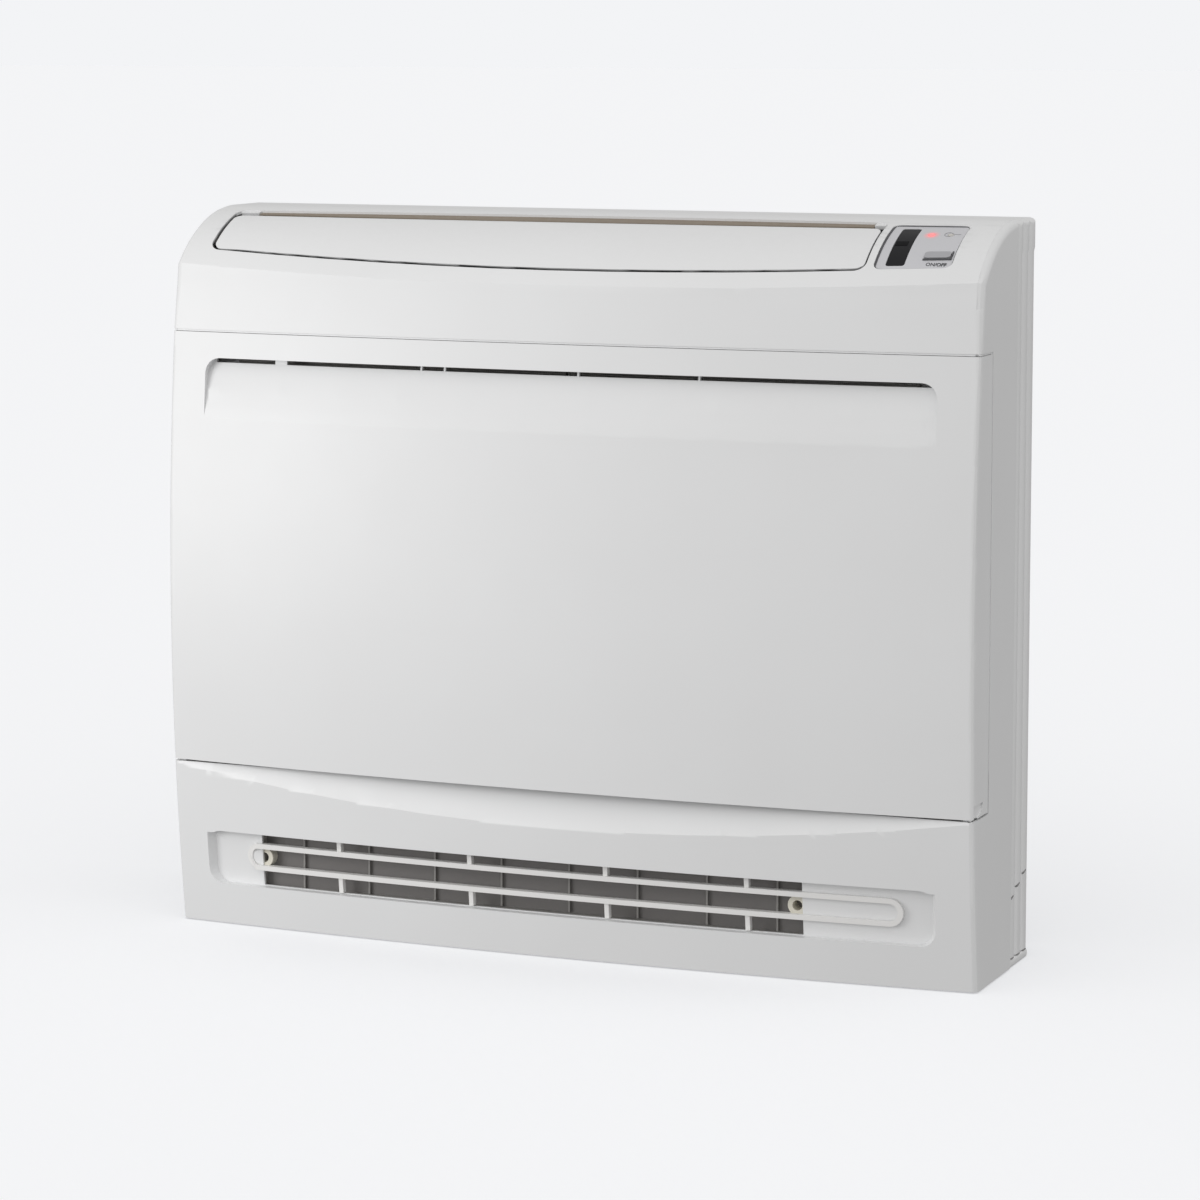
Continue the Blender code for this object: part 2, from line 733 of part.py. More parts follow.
def make_outlet_grille(surface):
    """Racetrack of two rails with rounded ends, and short upright ribs over and under it."""
    outer = RECESS_DEPTH - RAIL_PROUD
    inner = RECESS_DEPTH + GRILLE_BACK
    grille = racetrack('outlet_grille', 0, (outer, RECESS_DEPTH - SEAT_GAP), parts)
    low_x = outlet_left() + SEAT_GAP
    high_x = outlet_right() - SEAT_GAP
    for z in (RAIL_LOW_Z, RAIL_HIGH_Z - RAIL_WIDTH):
        join(grille, front_bar('grille_rail_back', low_x, high_x, z + HAIR, z + RAIL_WIDTH - HAIR,
                               outer + OVERLAP, inner, cutters))
    pitch = (outlet_right() - outlet_left()) / GRILLE_RIBS
    half = GRILLE_RIB_WIDTH / 2
    for index in range(GRILLE_RIBS):
        x = outlet_left() + GRILLE_RIB_FIRST + pitch * index
        for low_z, high_z in ((RECESS_LOW_Z + OVERLAP, RAIL_LOW_Z + OVERLAP),
                              (RAIL_HIGH_Z - OVERLAP, RECESS_HIGH_Z - OVERLAP)):
            join(grille, front_bar('grille_rib', x - half, x + half, low_z, high_z,
                                   outer + GRILLE_RIB_SUNK, inner - SEAT_GAP, cutters, 2))
    cut(grille, racetrack('grille_window', RAIL_WIDTH, (-PAST, inner + PAST), cutters))
    return dress(grille, surface)


def duct_bend(back, low_z, reach):
    """Rounded lower rear corner of the lower duct, as (y, z) points."""
    centre_y = back - LOWER_DUCT_BEND
    centre_z = low_z + LOWER_DUCT_BEND
    turns = [math.radians(90) * step / BEND_STEPS for step in range(BEND_STEPS + 1)]
    return [(centre_y + reach * math.sin(turn), centre_z - reach * math.cos(turn)) for turn in turns]


def lower_duct_back():
    """Inner face of the lower duct's rear wall."""
    return -DEPTH / 2 + LOWER_DUCT_BACK


def make_lower_duct(forms, surface):
    """Channel behind the grille: two ends and a curved back, open at the front and up to the fan."""
    low_z = RECESS_LOW_Z - OVERLAP
    high_z = RECESS_HIGH_Z + OVERLAP
    front = -DEPTH / 2
    back = lower_duct_back()
    mouth = back - LOWER_DUCT_MOUTH
    neck_z = high_z + LOWER_DUCT_NECK
    thick = DUCT_WALL
    space = [(front, low_z)] + duct_bend(back, low_z, LOWER_DUCT_BEND)
    space += [(back, neck_z), (mouth, neck_z), (mouth, high_z), (front, high_z)]
    grown = [(front, low_z - thick)] + duct_bend(back, low_z, LOWER_DUCT_BEND + thick)
    grown += [(back + thick, neck_z - thick), (mouth - thick, neck_z - thick),
              (mouth - thick, high_z + thick), (front, high_z + thick)]
    left = outlet_left() - LOWER_DUCT_SIDE
    right = outlet_right() + LOWER_DUCT_SIDE
    duct = prism('lower_duct', grown, left - thick, right + thick, parts)
    cut(duct, prism('lower_duct_space', space, left, right, cutters))
    trim(duct, cabinet_form('lower_duct_fit', RECESS_DEPTH + WALL + SEAT_GAP, -PAST, COVER_REAR_Y, cutters))
    return dress(duct, surface)


def make_guide_blades(surface):
    """Slanted upright blades in the lower duct, on one link bar."""
    low_z = RECESS_LOW_Z - OVERLAP + SEAT_GAP
    high_z = RECESS_HIGH_Z + OVERLAP - SEAT_GAP
    y = lower_duct_back() - BLADE_SETBACK
    left = outlet_left() + BLADE_END
    right = outlet_right() - BLADE_END
    mid_z = (low_z + high_z) / 2
    link = box('guide_blades', (left - BLADE_LINK, y, mid_z - BLADE_LINK / 2),
               (right + BLADE_LINK, y + BLADE_LINK, mid_z + BLADE_LINK / 2), parts)
    for index, x in enumerate(spread(left, right, BLADE_COUNT)):
        blade = box('guide_blade_%d' % index, (-BLADE_THICKNESS / 2, -BLADE_LENGTH / 2, low_z),
                    (BLADE_THICKNESS / 2, BLADE_LENGTH / 2, high_z), cutters)
        blade.location = (x, y, 0)
        blade.rotation_euler = (0, 0, BLADE_TILT)
        join(link, blade)
    return dress(link, surface)


def make_screw_boss(name, x, surface):
    """Tubular boss for a fixing screw, from the recess floor to the back of the duct."""
    mid_z = (RAIL_HIGH_Z + RAIL_LOW_Z) / 2
    start = front_y(x, mid_z) + RECESS_DEPTH + WALL
    end = lower_duct_back() - SEAT_GAP
    boss = rod(name, (x, start, mid_z), (x, end, mid_z), BOSS_RADIUS, parts)
    cut(boss, rod(name + '_bore', (x, start - PAST, mid_z), (x, end - BOSS_FLOOR, mid_z), BOSS_BORE,
                  cutters, BORE_SIDES))
    return dress(boss, surface)


# Panel and what lies behind it

def panel_axis():
    """The line on which the front panel swings, as (y, z)."""
    return front_y(HALF, PANEL_LOW_Z) + PANEL_AXIS_BACK, PANEL_LOW_Z + PANEL_AXIS_UP


def intake_depth(z):
    """How deep the intake recess is at a height: flush low down, deepest at the slot."""
    share = (z - INTAKE_LOW_Z) / (INTAKE_HIGH_Z - INTAKE_LOW_Z)
    return INTAKE_DEPTH * max(share, 0) ** INTAKE_FADE


def intake_patch(name, grow, outer):
    """The wedge of the intake recess as a slab on the front face."""
    low_x = -HALF + INTAKE_SIDE - grow
    high_x = HALF - INTAKE_SIDE + grow
    columns = rounded_columns(low_x, high_x, INTAKE_CORNER, STATIONS)

    def edges(x):
        drawn = min(pinch(x, low_x, high_x, INTAKE_CORNER), INTAKE_CORNER * FULLEST)
        return INTAKE_LOW_Z - grow, INTAKE_HIGH_Z + grow - drawn

    return patch(name, on_front, columns, edges, lambda z: (outer, intake_depth(z) + grow), 6, cutters)


def return_notch(side):
    """Quarter round opening low in the return, just behind the panel's front edge."""
    start = front_y(HALF, PANEL_LOW_Z) + PANEL_WALL
    high_z = PANEL_LOW_Z + NOTCH_HEIGHT
    outline = [(start, PANEL_LOW_Z - PAST), (start, high_z)]
    for step in range(BEND_STEPS + 1):
        turn = math.radians(90) * step / BEND_STEPS
        outline.append((start + NOTCH_LENGTH * math.cos(turn), high_z - NOTCH_HEIGHT * math.sin(turn)))
    outline.pop()
    outline.append((start + HAIR, PANEL_LOW_Z - PAST))
    return prism('return_notch', outline, side * (HALF - 2 * PAST), side * (HALF + PAST), cutters)


def make_front_panel(surface):
    """Bowed panel with returns round both corners, the intake recess and its slot."""
    panel = cabinet_form('front_panel', 0, COVER_LIFT, COVER_REAR_Y, parts)
    cut(panel, cabinet_form('panel_inner_form', PANEL_WALL, -PAST, COVER_REAR_Y + PAST, cutters))
    trim(panel, box('panel_bounds', (-BIG, -BIG, PANEL_LOW_Z), (BIG, PANEL_RETURN_Y, PANEL_HIGH_Z), cutters))
    join(panel, intake_patch('intake_lining', INTAKE_WALL, OVERLAP))
    cut(panel, intake_patch('intake_recess', 0, -SLOPE_PAST))
    slot_low = INTAKE_HIGH_Z - INTAKE_SLOT
    slot_x = HALF - INTAKE_SIDE - INTAKE_CORNER / 2
    cut(panel, front_bar('intake_slot', -slot_x, slot_x, slot_low, INTAKE_HIGH_Z, INTAKE_DEPTH / 2,
                         INTAKE_DEPTH + PAST, cutters))
    bars = [(share * HALF, RIB_WIDTH) for share in INTAKE_RIB_SHARES]
    bars.append((INTAKE_TAB_SHARE * HALF, INTAKE_TAB_WIDTH))
    for index, (x, width) in enumerate(bars):
        join(panel, front_bar('intake_rib_%d' % index, x - width / 2, x + width / 2,
                              slot_low - OVERLAP, INTAKE_HIGH_Z + OVERLAP, INTAKE_DEPTH - OVERLAP,
                              INTAKE_DEPTH + RIB_WIDTH, cutters, 2))
    cut(panel, return_notch(-1), return_notch(1))
    return dress(panel, surface)


def socket_reach():
    """Outer radius of the round hinge socket."""
    return PIN_RADIUS + PIN_PLAY + SOCKET_WALL


def make_panel_lug(side, surface):
    """Hinge lug inside the panel's lower corner, with its pin."""
    name = 'panel_lug_left' if side < 0 else 'panel_lug_right'
    y, z = panel_axis()
    x = HALF - LUG_FROM_SIDE
    low_z = PANEL_LOW_Z + 2 * SEAT_GAP
    skin = front_y(x + LUG_WIDTH, low_z) + PANEL_WALL + 2 * SEAT_GAP
    lug = side_box(name, side, (x, skin, low_z), (x + LUG_WIDTH, y + socket_reach(), low_z + LUG_HEIGHT),
                   parts)
    join(lug, rod(name + '_pin', (side * (x + LUG_WIDTH / 2), y, z),
                  (side * (x + LUG_WIDTH + PIN_PLAY + SOCKET_WIDTH), y, z), PIN_RADIUS, cutters, PIN_SIDES))
    return dress(lug, surface)


def make_panel_socket(side, surface):
    """Hinge socket on the frame, a round eye on a stem, with a bore for the pin."""
    name = 'panel_socket_left' if side < 0 else 'panel_socket_right'
    y, z = panel_axis()
    low_x = HALF - LUG_FROM_SIDE + LUG_WIDTH + PIN_PLAY
    high_x = low_x + SOCKET_WIDTH
    reach = socket_reach()
    stem = reach - STEM_STEP
    socket = rod(name, (side * low_x, y, z), (side * high_x, y, z), reach, parts, PIN_SIDES)
    join(socket, side_box(name + '_stem', side, (low_x + HAIR, y, z - stem),
                          (high_x - HAIR, FRAME_Y - SEAT_GAP, z + stem), cutters))
    cut(socket, rod(name + '_bore', (side * (low_x - PAST), y, z), (side * (high_x + PAST), y, z),
                    PIN_RADIUS + PIN_PLAY, cutters, PIN_SIDES))
    return dress(socket, surface)


def make_inner_frame(surface):
    """Flat frame behind the panel with the filter openings and a flange along each side."""
    half = HALF - FRAME_SIDE
    low_z = PANEL_LOW_Z - FRAME_LAP
    high_z = PANEL_HIGH_Z + FRAME_LAP
    opening = HALF - FRAME_OPENING_SIDE
    frame = box('inner_frame', (-half, FRAME_Y, low_z), (half, FRAME_Y + WALL, high_z), parts)
    for side in (-1, 1):
        join(frame, side_box('frame_flange', side, (half - WALL, FRAME_Y + OVERLAP, low_z),
                             (half, FRAME_Y + FLANGE, high_z), cutters))
        cut(frame, side_box('frame_opening', side, (FRAME_BAR / 2, FRAME_Y - PAST, FRAME_OPENING_LOW_Z),
                            (opening, FRAME_Y + PAST, FRAME_OPENING_HIGH_Z), cutters))
    return dress(frame, surface)


def make_filter(side, surface):
    """Air filter: a rim with one bar each way and a thin screen across it."""
    name = 'filter_left' if side < 0 else 'filter_right'
    low_x = FRAME_BAR / 2 - FILTER_LAP + SEAT_GAP
    high_x = HALF - FRAME_OPENING_SIDE + FILTER_LAP
    low_z = FRAME_OPENING_LOW_Z - FILTER_LAP
    high_z = FRAME_OPENING_HIGH_Z + FILTER_LAP
    back = FRAME_Y - SEAT_GAP
    front = back - FILTER_THICKNESS
    item = side_box(name, side, (low_x, front, low_z), (high_x, back, high_z), parts)
    middle_x = (low_x + high_x) / 2
    middle_z = (low_z + high_z) / 2
    for first_x, last_x in ((low_x + FILTER_RIM, middle_x - FILTER_BAR / 2),
                            (middle_x + FILTER_BAR / 2, high_x - FILTER_RIM)):
        for first_z, last_z in ((low_z + FILTER_RIM, middle_z - FILTER_BAR / 2),
                                (middle_z + FILTER_BAR / 2, high_z - FILTER_RIM)):
            window = side_box(name + '_window', side, (first_x, front - PAST, first_z),
                              (last_x, back - FILTER_MESH, last_z), cutters)
            cut(item, window)
    return dress(item, surface)


def coil_front():
    """Where the coil's end plates meet the back of the frame."""
    return FRAME_Y + WALL + SEAT_GAP


def coil_back():
    """Rear edge of the coil's end plates."""
    return coil_front() + COIL_THICKNESS + 2 * COIL_PLATE_PROUD


def make_heat_exchanger(surface):
    """Finned coil between two end plates that are seated on the back of the frame."""
    proud = COIL_PLATE_PROUD
    half = HALF - FRAME_OPENING_SIDE + COIL_LAP
    low_z = FRAME_OPENING_LOW_Z - COIL_LAP
    high_z = FRAME_OPENING_HIGH_Z + COIL_LAP
    coil = box('heat_exchanger', (-half, coil_front() + proud, low_z),
               (half, coil_back() - proud, high_z), parts)
    for side in (-1, 1):
        join(coil, side_box('coil_end', side, (half - COIL_END, coil_front(), low_z - proud),
                            (half + proud, coil_back(), high_z + proud), cutters))
    return dress(coil, surface)


def make_fan_casing(surface):
    """Closed casing of the fan between the coil and the wall plate."""
    half = HALF - FAN_CASING_SIDE
    casing = box('fan_casing', (-half, coil_back() + FAN_CASING_GAP, FRAME_OPENING_LOW_Z - FAN_CASING_BELOW),
                 (half, WALL_Y - REAR_WALL - SEAT_GAP, FRAME_OPENING_HIGH_Z + FAN_CASING_ABOVE), parts)
    return dress(casing, surface)


# Upper outlet

def vane_low(x):
    """Lower edge of the vane as a share of the arc: highest near the ends."""
    return VANE_LOW_SHARE - VANE_LOW_RISE * (x - VANE_LOW_MID_X) ** 2


def vane_high(x):
    """Upper edge of the vane as a share of the arc."""
    return VANE_HIGH_SHARE + VANE_HIGH_FALL * x * x


def outlet_high(x):
    """Upper edge of the outlet as a share of the arc."""
    return OUTLET_HIGH_SHARE + OUTLET_HIGH_FALL * x * x


def vane_ends():
    """Both ends of the vane across the width."""
    return -HALF + VANE_LEFT, HALF - VANE_RIGHT


def outlet_ends():
    """Both ends of the upper outlet across the width."""
    low_x, high_x = vane_ends()
    return low_x - VANE_GAP_LEFT, high_x + VANE_GAP_RIGHT


def outlet_patch():
    """The opening in the slope that holds the vane with its gaps."""
    arc = slope_arc(0)
    gap = VANE_GAP_LOW / (arc[0] * arc[1])
    shares = (outlet_high, lambda x: vane_low(x) + gap)
    return slope_patch('vane_opening', outlet_ends(), shares, VANE_CORNER + VANE_GAP_LOW, 0,
                       (-SLOPE_PAST, SLOPE_DEEP), cutters, STATIONS)


def vane_frame():
    """A place on the vane's axis, taken from the lower edge at the vane's left end."""
    x = vane_ends()[0]
    turn = slope_arc(x)[0] * vane_low(x)
    up = Vector((0, math.cos(turn), math.sin(turn)))
    out = Vector((0, -math.sin(turn), math.cos(turn)))
    return on_slope(x, vane_low(x), 0) + up * VANE_AXIS_ALONG - out * VANE_AXIS_DEEP


def vane_axis():
    """The line on which the vane swings, as (y, z), under the skin near its lower edge."""
    place = vane_frame()
    return place.y, place.z


def cheek_outline(x):
    """Rounded tongue from the middle of the vane's wall down round the pin, as (y, z) points."""
    axis = vane_frame()
    skin = axis - Vector((axis.x, slope_centre(x).y, slope_centre(x).z))
    out = skin.normalized()
    across = Vector((0, out.z, -out.y))
    top = axis + out * (slope_arc(x)[1] - skin.length - VANE_THICKNESS / 2)
    outline = [top + across * VANE_CHEEK_HALF, top - across * VANE_CHEEK_HALF]
    for step in range(RIDGE_STEPS + 1):
        turn = math.radians(180) * step / RIDGE_STEPS
        outline.append(axis - (across * math.cos(turn) + out * math.sin(turn)) * VANE_CHEEK_HALF)
    return [(point.y, point.z) for point in outline]


def make_upper_vane(surface):
    """Curved blade over the upper outlet, with a cheek and a pin at each end."""
    vane = slope_patch('upper_vane', vane_ends(), (vane_high, vane_low), VANE_CORNER, 0,
                       (VANE_SUNK, VANE_THICKNESS), parts, STATIONS)
    y, z = vane_axis()
    for side, end, gap in zip((-1, 1), vane_ends(), (VANE_GAP_LEFT, VANE_GAP_RIGHT)):
        outer = end - side * VANE_CHEEK_INSET
        inner = outer - side * VANE_CHEEK
        join(vane, prism('vane_cheek', cheek_outline(outer), inner, outer, cutters))
        join(vane, rod('vane_pin', ((inner + outer) / 2, y, z), (end + side * (gap + DUCT_WALL), y, z),
                       VANE_PIN_RADIUS, cutters, PIN_SIDES))
    return dress(vane, surface)


def upper_duct_front():
    """Front wall of the upper duct from the shelf down to the throat, as (y, z) points."""
    top_z = SHELF_Z + WALL
    top_y = FRAME_Y - UPPER_DUCT_AHEAD
    return [(top_y, top_z), (top_y + UPPER_DUCT_LIP, top_z - UPPER_DUCT_LIP_DROP),
            (FRAME_Y + UPPER_DUCT_BEHIND, HEIGHT - UPPER_DUCT_DROP)]


def make_upper_duct(forms, surface):
    """Channel under the vane: a rear wall, a front wall and two ends, open to the fan below."""
    low_z = HEIGHT - UPPER_DUCT_DROP
    front = upper_duct_front()
    high_y = on_slope(0, OUTLET_HIGH_SHARE, 0).y
    rear = [(front[2][0] + UPPER_DUCT_THROAT, low_z),
            (high_y + UPPER_DUCT_REAR_MID, low_z + UPPER_DUCT_REAR_RISE),
            (high_y + UPPER_DUCT_REAR_HIGH, HEIGHT)]
    thick = DUCT_WALL
    space = front[:2] + [(front[2][0], low_z - OVERLAP), (rear[0][0], low_z - OVERLAP)] + rear[1:]
    space += [(-DEPTH / 2, HEIGHT), (-DEPTH / 2, front[0][1])]
    grown = [(front[0][0], front[0][1] - thick), (front[1][0] - thick, front[1][1] - thick),
             (front[2][0] - thick, low_z)]
    grown += [(y + thick, z) for y, z in rear]
    shelf_top = front[0][1] + SEAT_GAP
    grown += [(-DEPTH / 2, HEIGHT), (-DEPTH / 2, shelf_top), (front[0][0], shelf_top)]
    left, right = outlet_ends()
    left -= SEAT_GAP
    right += SEAT_GAP
    duct = prism('upper_duct', grown, left - thick, right + thick, parts)
    cut(duct, prism('upper_duct_space', space, left, right, cutters))
    y, z = vane_axis()
    cut(duct, rod('vane_bearings', (left - PAST, y, z), (right + PAST, y, z), VANE_PIN_RADIUS + PIN_PLAY,
                  cutters, PIN_SIDES))
    rear_y = COVER_REAR_Y - WALL - SEAT_GAP
    trim(duct, cabinet_form('upper_duct_fit', WALL + SEAT_GAP, -PAST, rear_y, cutters))
    return dress(duct, surface)


# Display pad and its pieces

def pad_patch(name, grow, outer, inner, collection):
    """The display pad, or the opening that takes it."""
    return slope_patch(name, (HALF - PAD_LEFT, HALF - PAD_RIGHT),
                       (constant(PAD_HIGH_SHARE), constant(PAD_LOW_SHARE)), PAD_CORNER, grow,
                       (outer, inner), collection)


def window_patch(name, grow, outer, inner, collection):
    """The receiver window, or its pocket."""
    return slope_patch(name, (HALF - WINDOW_LEFT, HALF - WINDOW_RIGHT),
                       (constant(WINDOW_HIGH_SHARE), constant(WINDOW_LOW_SHARE)), WINDOW_CORNER, grow,
                       (outer, inner), collection)


def button_patch(name, grow, outer, inner, collection):
    """The push button, or its hole."""
    return slope_patch(name, (HALF - BUTTON_LEFT, HALF - BUTTON_RIGHT),
                       (constant(BUTTON_HIGH_SHARE), constant(BUTTON_LOW_SHARE)), BUTTON_CORNER, grow,
                       (outer, inner), collection)


def lamp_rod(name, index, grow, outer, inner, collection):
    """A lamp's round lens, or its hole."""
    x = HALF - LAMP_FROM_SIDE + index * LAMP_SPACING
    return rod(name, on_slope(x, LAMP_SHARE, inner), on_slope(x, LAMP_SHARE, outer), LAMP_RADIUS + grow,
               collection, PIN_SIDES)


def make_display(pad_finish, window_finish, lit, unlit, button_finish, board_finish):
    """Pad with its receiver window, two lamps, the push button and the board behind it."""
    back = PAD_SUNK + PAD_THICKNESS
    window_back = PAD_SUNK + WINDOW_THICKNESS
    pad = pad_patch('display_pad', -SEAT_GAP, PAD_SUNK, back, parts)
    cut(pad, window_patch('window_pocket', SEAT_GAP, -SLOPE_PAST, window_back + SEAT_GAP, cutters))
    cut(pad, button_patch('button_hole', BUTTON_PLAY, -SLOPE_PAST, back + OVERLAP, cutters))
    for index in range(2):
        cut(pad, lamp_rod('lamp_hole_%d' % index, index, SEAT_GAP, -SLOPE_PAST, back + OVERLAP, cutters))
    dress(pad, pad_finish)
    dress(window_patch('receiver_window', 0, PAD_SUNK + WINDOW_SUNK, window_back, parts), window_finish)
    for index, (name, made) in enumerate((('power_lamp', lit), ('timer_lamp', unlit))):
        dress(lamp_rod(name, index, 0, PAD_SUNK - LAMP_PROUD, back - SEAT_GAP, parts), made)
    button = button_patch('on_off_button', 0, PAD_SUNK - BUTTON_PROUD, back - BUTTON_TRAVEL, parts)
    dress(button, button_finish)
    board_front = back + BOARD_GAP
    board = pad_patch('display_board', -BOARD_INSET, board_front, board_front + BOARD_THICKNESS, parts)
    dress(board, board_finish)
    return button


# Rear frame, base and feet

def make_rear_plate(surface):
    """Flat plate against the wall, with the pipe openings and the hook slots."""
    half = HALF - REAR_INSET
    plate = box('rear_plate', (-half, WALL_Y - REAR_WALL, 0), (half, WALL_Y, HEIGHT - REAR_TOP_DROP), parts)
    high_z = HEIGHT - REAR_TOP_DROP - HOOK_SLOT_DROP
    high_x = HALF - PIPE_OPENING_FROM_SIDE
    half_slot = HOOK_SLOT_WIDTH / 2
    for side in (-1, 1):
        cut(plate, side_box('pipe_opening', side,
                            (high_x - PIPE_OPENING_WIDTH, WALL_Y - PAST, PIPE_OPENING_LOW_Z),
                            (high_x, WALL_Y + PAST, PIPE_OPENING_LOW_Z + PIPE_OPENING_HEIGHT), cutters))
        cut(plate, side_box('hook_slot', side,
                            (HOOK_SLOT_OFFSET - half_slot, WALL_Y - PAST, high_z),
                            (HOOK_SLOT_OFFSET + half_slot, WALL_Y + PAST, high_z + HOOK_SLOT_HEIGHT),
                            cutters))
    return dress(plate, surface)


def make_rear_rim(surface):
    """Shallow frame round the wall plate: four walls and a border behind the covers."""
    half = HALF - REAR_INSET
    high_z = HEIGHT - REAR_TOP_DROP
    front = COVER_REAR_Y + SEAT_GAP
    back = WALL_Y - REAR_WALL - SEAT_GAP
    rim = box('rear_rim', (-half, front, 0), (half, back, high_z), parts)
    cut(rim, box('rear_space', (-half + REAR_WALL, front + REAR_WALL, REAR_WALL),
                 (half - REAR_WALL, back + PAST, high_z - REAR_WALL), cutters))
    cut(rim, box('rear_mouth', (-half + REAR_BORDER, front - PAST, REAR_BORDER),
                 (half - REAR_BORDER, front + PAST, high_z - REAR_BORDER), cutters))
    return dress(rim, surface)


def make_base_pan(surface):
    """Flat pan inside the covers, on which the cabinet stands."""
    base = cabinet_form('base_pan', WALL + SEAT_GAP, -PAST, COVER_REAR_Y, parts)
    trim(base, box('base_bounds', (-BIG, -BIG, 0), (BIG, BIG, BASE_THICKNESS), cutters))
    for side in (-1, 1):
        cut(base, side_box('base_corner', side, (HALF - REAR_FLANGE - BASE_CORNER, ridge_y(), -BIG),
                           (BIG, BIG, BIG), cutters))
    return dress(base, surface)


def make_foot(side, surface):
    """Foot block that carries one side moulding."""
    name = 'foot_left' if side < 0 else 'foot_right'
    foot = side_box(name, side, (HALF - FOOT_WIDTH, COVER_REAR_Y - FOOT_LENGTH, 0),
                    (HALF - FOOT_SUNK, COVER_REAR_Y, FOOT_HEIGHT), parts)
    return dress(foot, surface)


# Assembly

def hang_on(axis_name, place, items):
    """Put an empty on a joint's axis and hang moving pieces on it."""
    axis = bpy.data.objects.new(axis_name, None)
    parts.objects.link(axis)
    axis.location = place
    axis.empty_display_size = 0.05
    bpy.context.view_layer.update()
    for item in items:
        item.parent = axis
        item.matrix_parent_inverse = axis.matrix_world.inverted()


def clear_scene():
    """Remove whatever the scene holds."""
    for item in list(bpy.data.objects):
        bpy.data.objects.remove(item, do_unlink=True)


def main():
    global parts, cutters
    clear_scene()
    parts = bpy.data.collections.new('floor_air_conditioner')
    cutters = bpy.data.collections.new('cutters')
    bpy.context.scene.collection.children.link(parts)
    bpy.context.scene.collection.children.link(cutters)

    white = finish('white_plastic', (0.80, 0.80, 0.78), 0.45)
    ridge = finish('ridge_plastic', (0.74, 0.74, 0.73), 0.5)
    duct_grey = finish('duct_plastic', (0.30, 0.28, 0.26), 0.6)
    cream = finish('cream_plastic', (0.70, 0.66, 0.58), 0.55)
    silver = finish('pad_plastic', (0.55, 0.56, 0.57), 0.4)
    black = finish('window_plastic', (0.02, 0.02, 0.022), 0.15)
    red = finish('lamp_red', (0.85, 0.05, 0.04), 0.3)
    pale = finish('lamp_pale', (0.62, 0.60, 0.56), 0.3)
    board_green = finish('board_green', (0.05, 0.18, 0.08), 0.5)
    steel = finish('galvanised_sheet', (0.62, 0.64, 0.65), 0.4, 0.9)
    fins = finish('coil_aluminium', (0.78, 0.79, 0.80), 0.35, 1.0)
    screen = finish('filter_screen', (0.20, 0.24, 0.30), 0.7)

    forms = {
        'wall': cabinet_form('inner_form', WALL, -PAST, COVER_REAR_Y + PAST, cutters),
        'core': cabinet_form('core_form', WALL / 2, -PAST, COVER_REAR_Y + PAST, cutters),
        'moulding': cabinet_form('moulding_form', 0, -PAST, COVER_REAR_Y + OVERLAP, cutters),
    }
    make_top_cover(forms, white)
    make_slope_cover(forms, white)
    make_lower_cover(forms, white)
    for side in (-1, 1):
        make_side_wall(side, forms, white)
        make_side_moulding(side, forms, ridge)
        make_foot(side, ridge)
    make_outlet_grille(white)
    make_lower_duct(forms, duct_grey)
    make_guide_blades(duct_grey)
    make_screw_boss('screw_boss_left', outlet_left() + BOSS_INSET, cream)
    make_screw_boss('screw_boss_right', outlet_right() - BOSS_INSET, cream)
    make_inner_frame(white)
    make_filter(-1, screen)
    make_filter(1, screen)
    make_heat_exchanger(fins)
    make_fan_casing(duct_grey)
    make_upper_duct(forms, cream)
    make_rear_plate(steel)
    make_rear_rim(steel)
    make_base_pan(steel)
    sockets = [make_panel_socket(side, cream) for side in (-1, 1)]

    panel = make_front_panel(white)
    lugs = [make_panel_lug(side, cream) for side in (-1, 1)]
    hang_on('panel_hinge', (0, *panel_axis()), [panel] + lugs)
    vane = make_upper_vane(white)
    hang_on('vane_hinge', (0, *vane_axis()), [vane])
    button = make_display(silver, black, red, pale, silver, board_green)
    centre_x = HALF - (BUTTON_LEFT + BUTTON_RIGHT) / 2
    share = (BUTTON_HIGH_SHARE + BUTTON_LOW_SHARE) / 2
    hang_on('button_guide', on_slope(centre_x, share, 0), [button])


main()
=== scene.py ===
import math
import bpy
import bmesh
from bpy.props import FloatProperty, FloatVectorProperty, IntProperty, PointerProperty
from mathutils import Matrix, Vector


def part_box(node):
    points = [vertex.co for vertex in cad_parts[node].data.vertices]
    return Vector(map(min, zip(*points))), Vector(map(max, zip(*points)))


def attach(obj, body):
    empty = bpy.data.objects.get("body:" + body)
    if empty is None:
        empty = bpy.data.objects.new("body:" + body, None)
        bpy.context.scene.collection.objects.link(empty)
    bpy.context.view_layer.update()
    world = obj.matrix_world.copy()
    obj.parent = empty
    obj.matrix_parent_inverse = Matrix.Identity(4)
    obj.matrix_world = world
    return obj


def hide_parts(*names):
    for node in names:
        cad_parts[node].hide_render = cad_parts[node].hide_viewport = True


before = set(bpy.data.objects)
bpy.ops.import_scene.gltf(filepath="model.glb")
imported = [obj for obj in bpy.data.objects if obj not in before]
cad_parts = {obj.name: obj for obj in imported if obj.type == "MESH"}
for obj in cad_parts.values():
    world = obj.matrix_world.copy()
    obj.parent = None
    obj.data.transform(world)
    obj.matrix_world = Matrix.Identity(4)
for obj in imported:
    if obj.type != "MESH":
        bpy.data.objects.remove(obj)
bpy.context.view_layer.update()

bl_info = {
    "name": "Floor standing air conditioner",
    "version": (1, 0, 0),
    "blender": (4, 5, 0),
    "location": "View3D > Sidebar > Air conditioner",
    "description": "Dresses the frame of a floor standing air conditioner and sets it on a plain stage",
    "category": "Object",
}

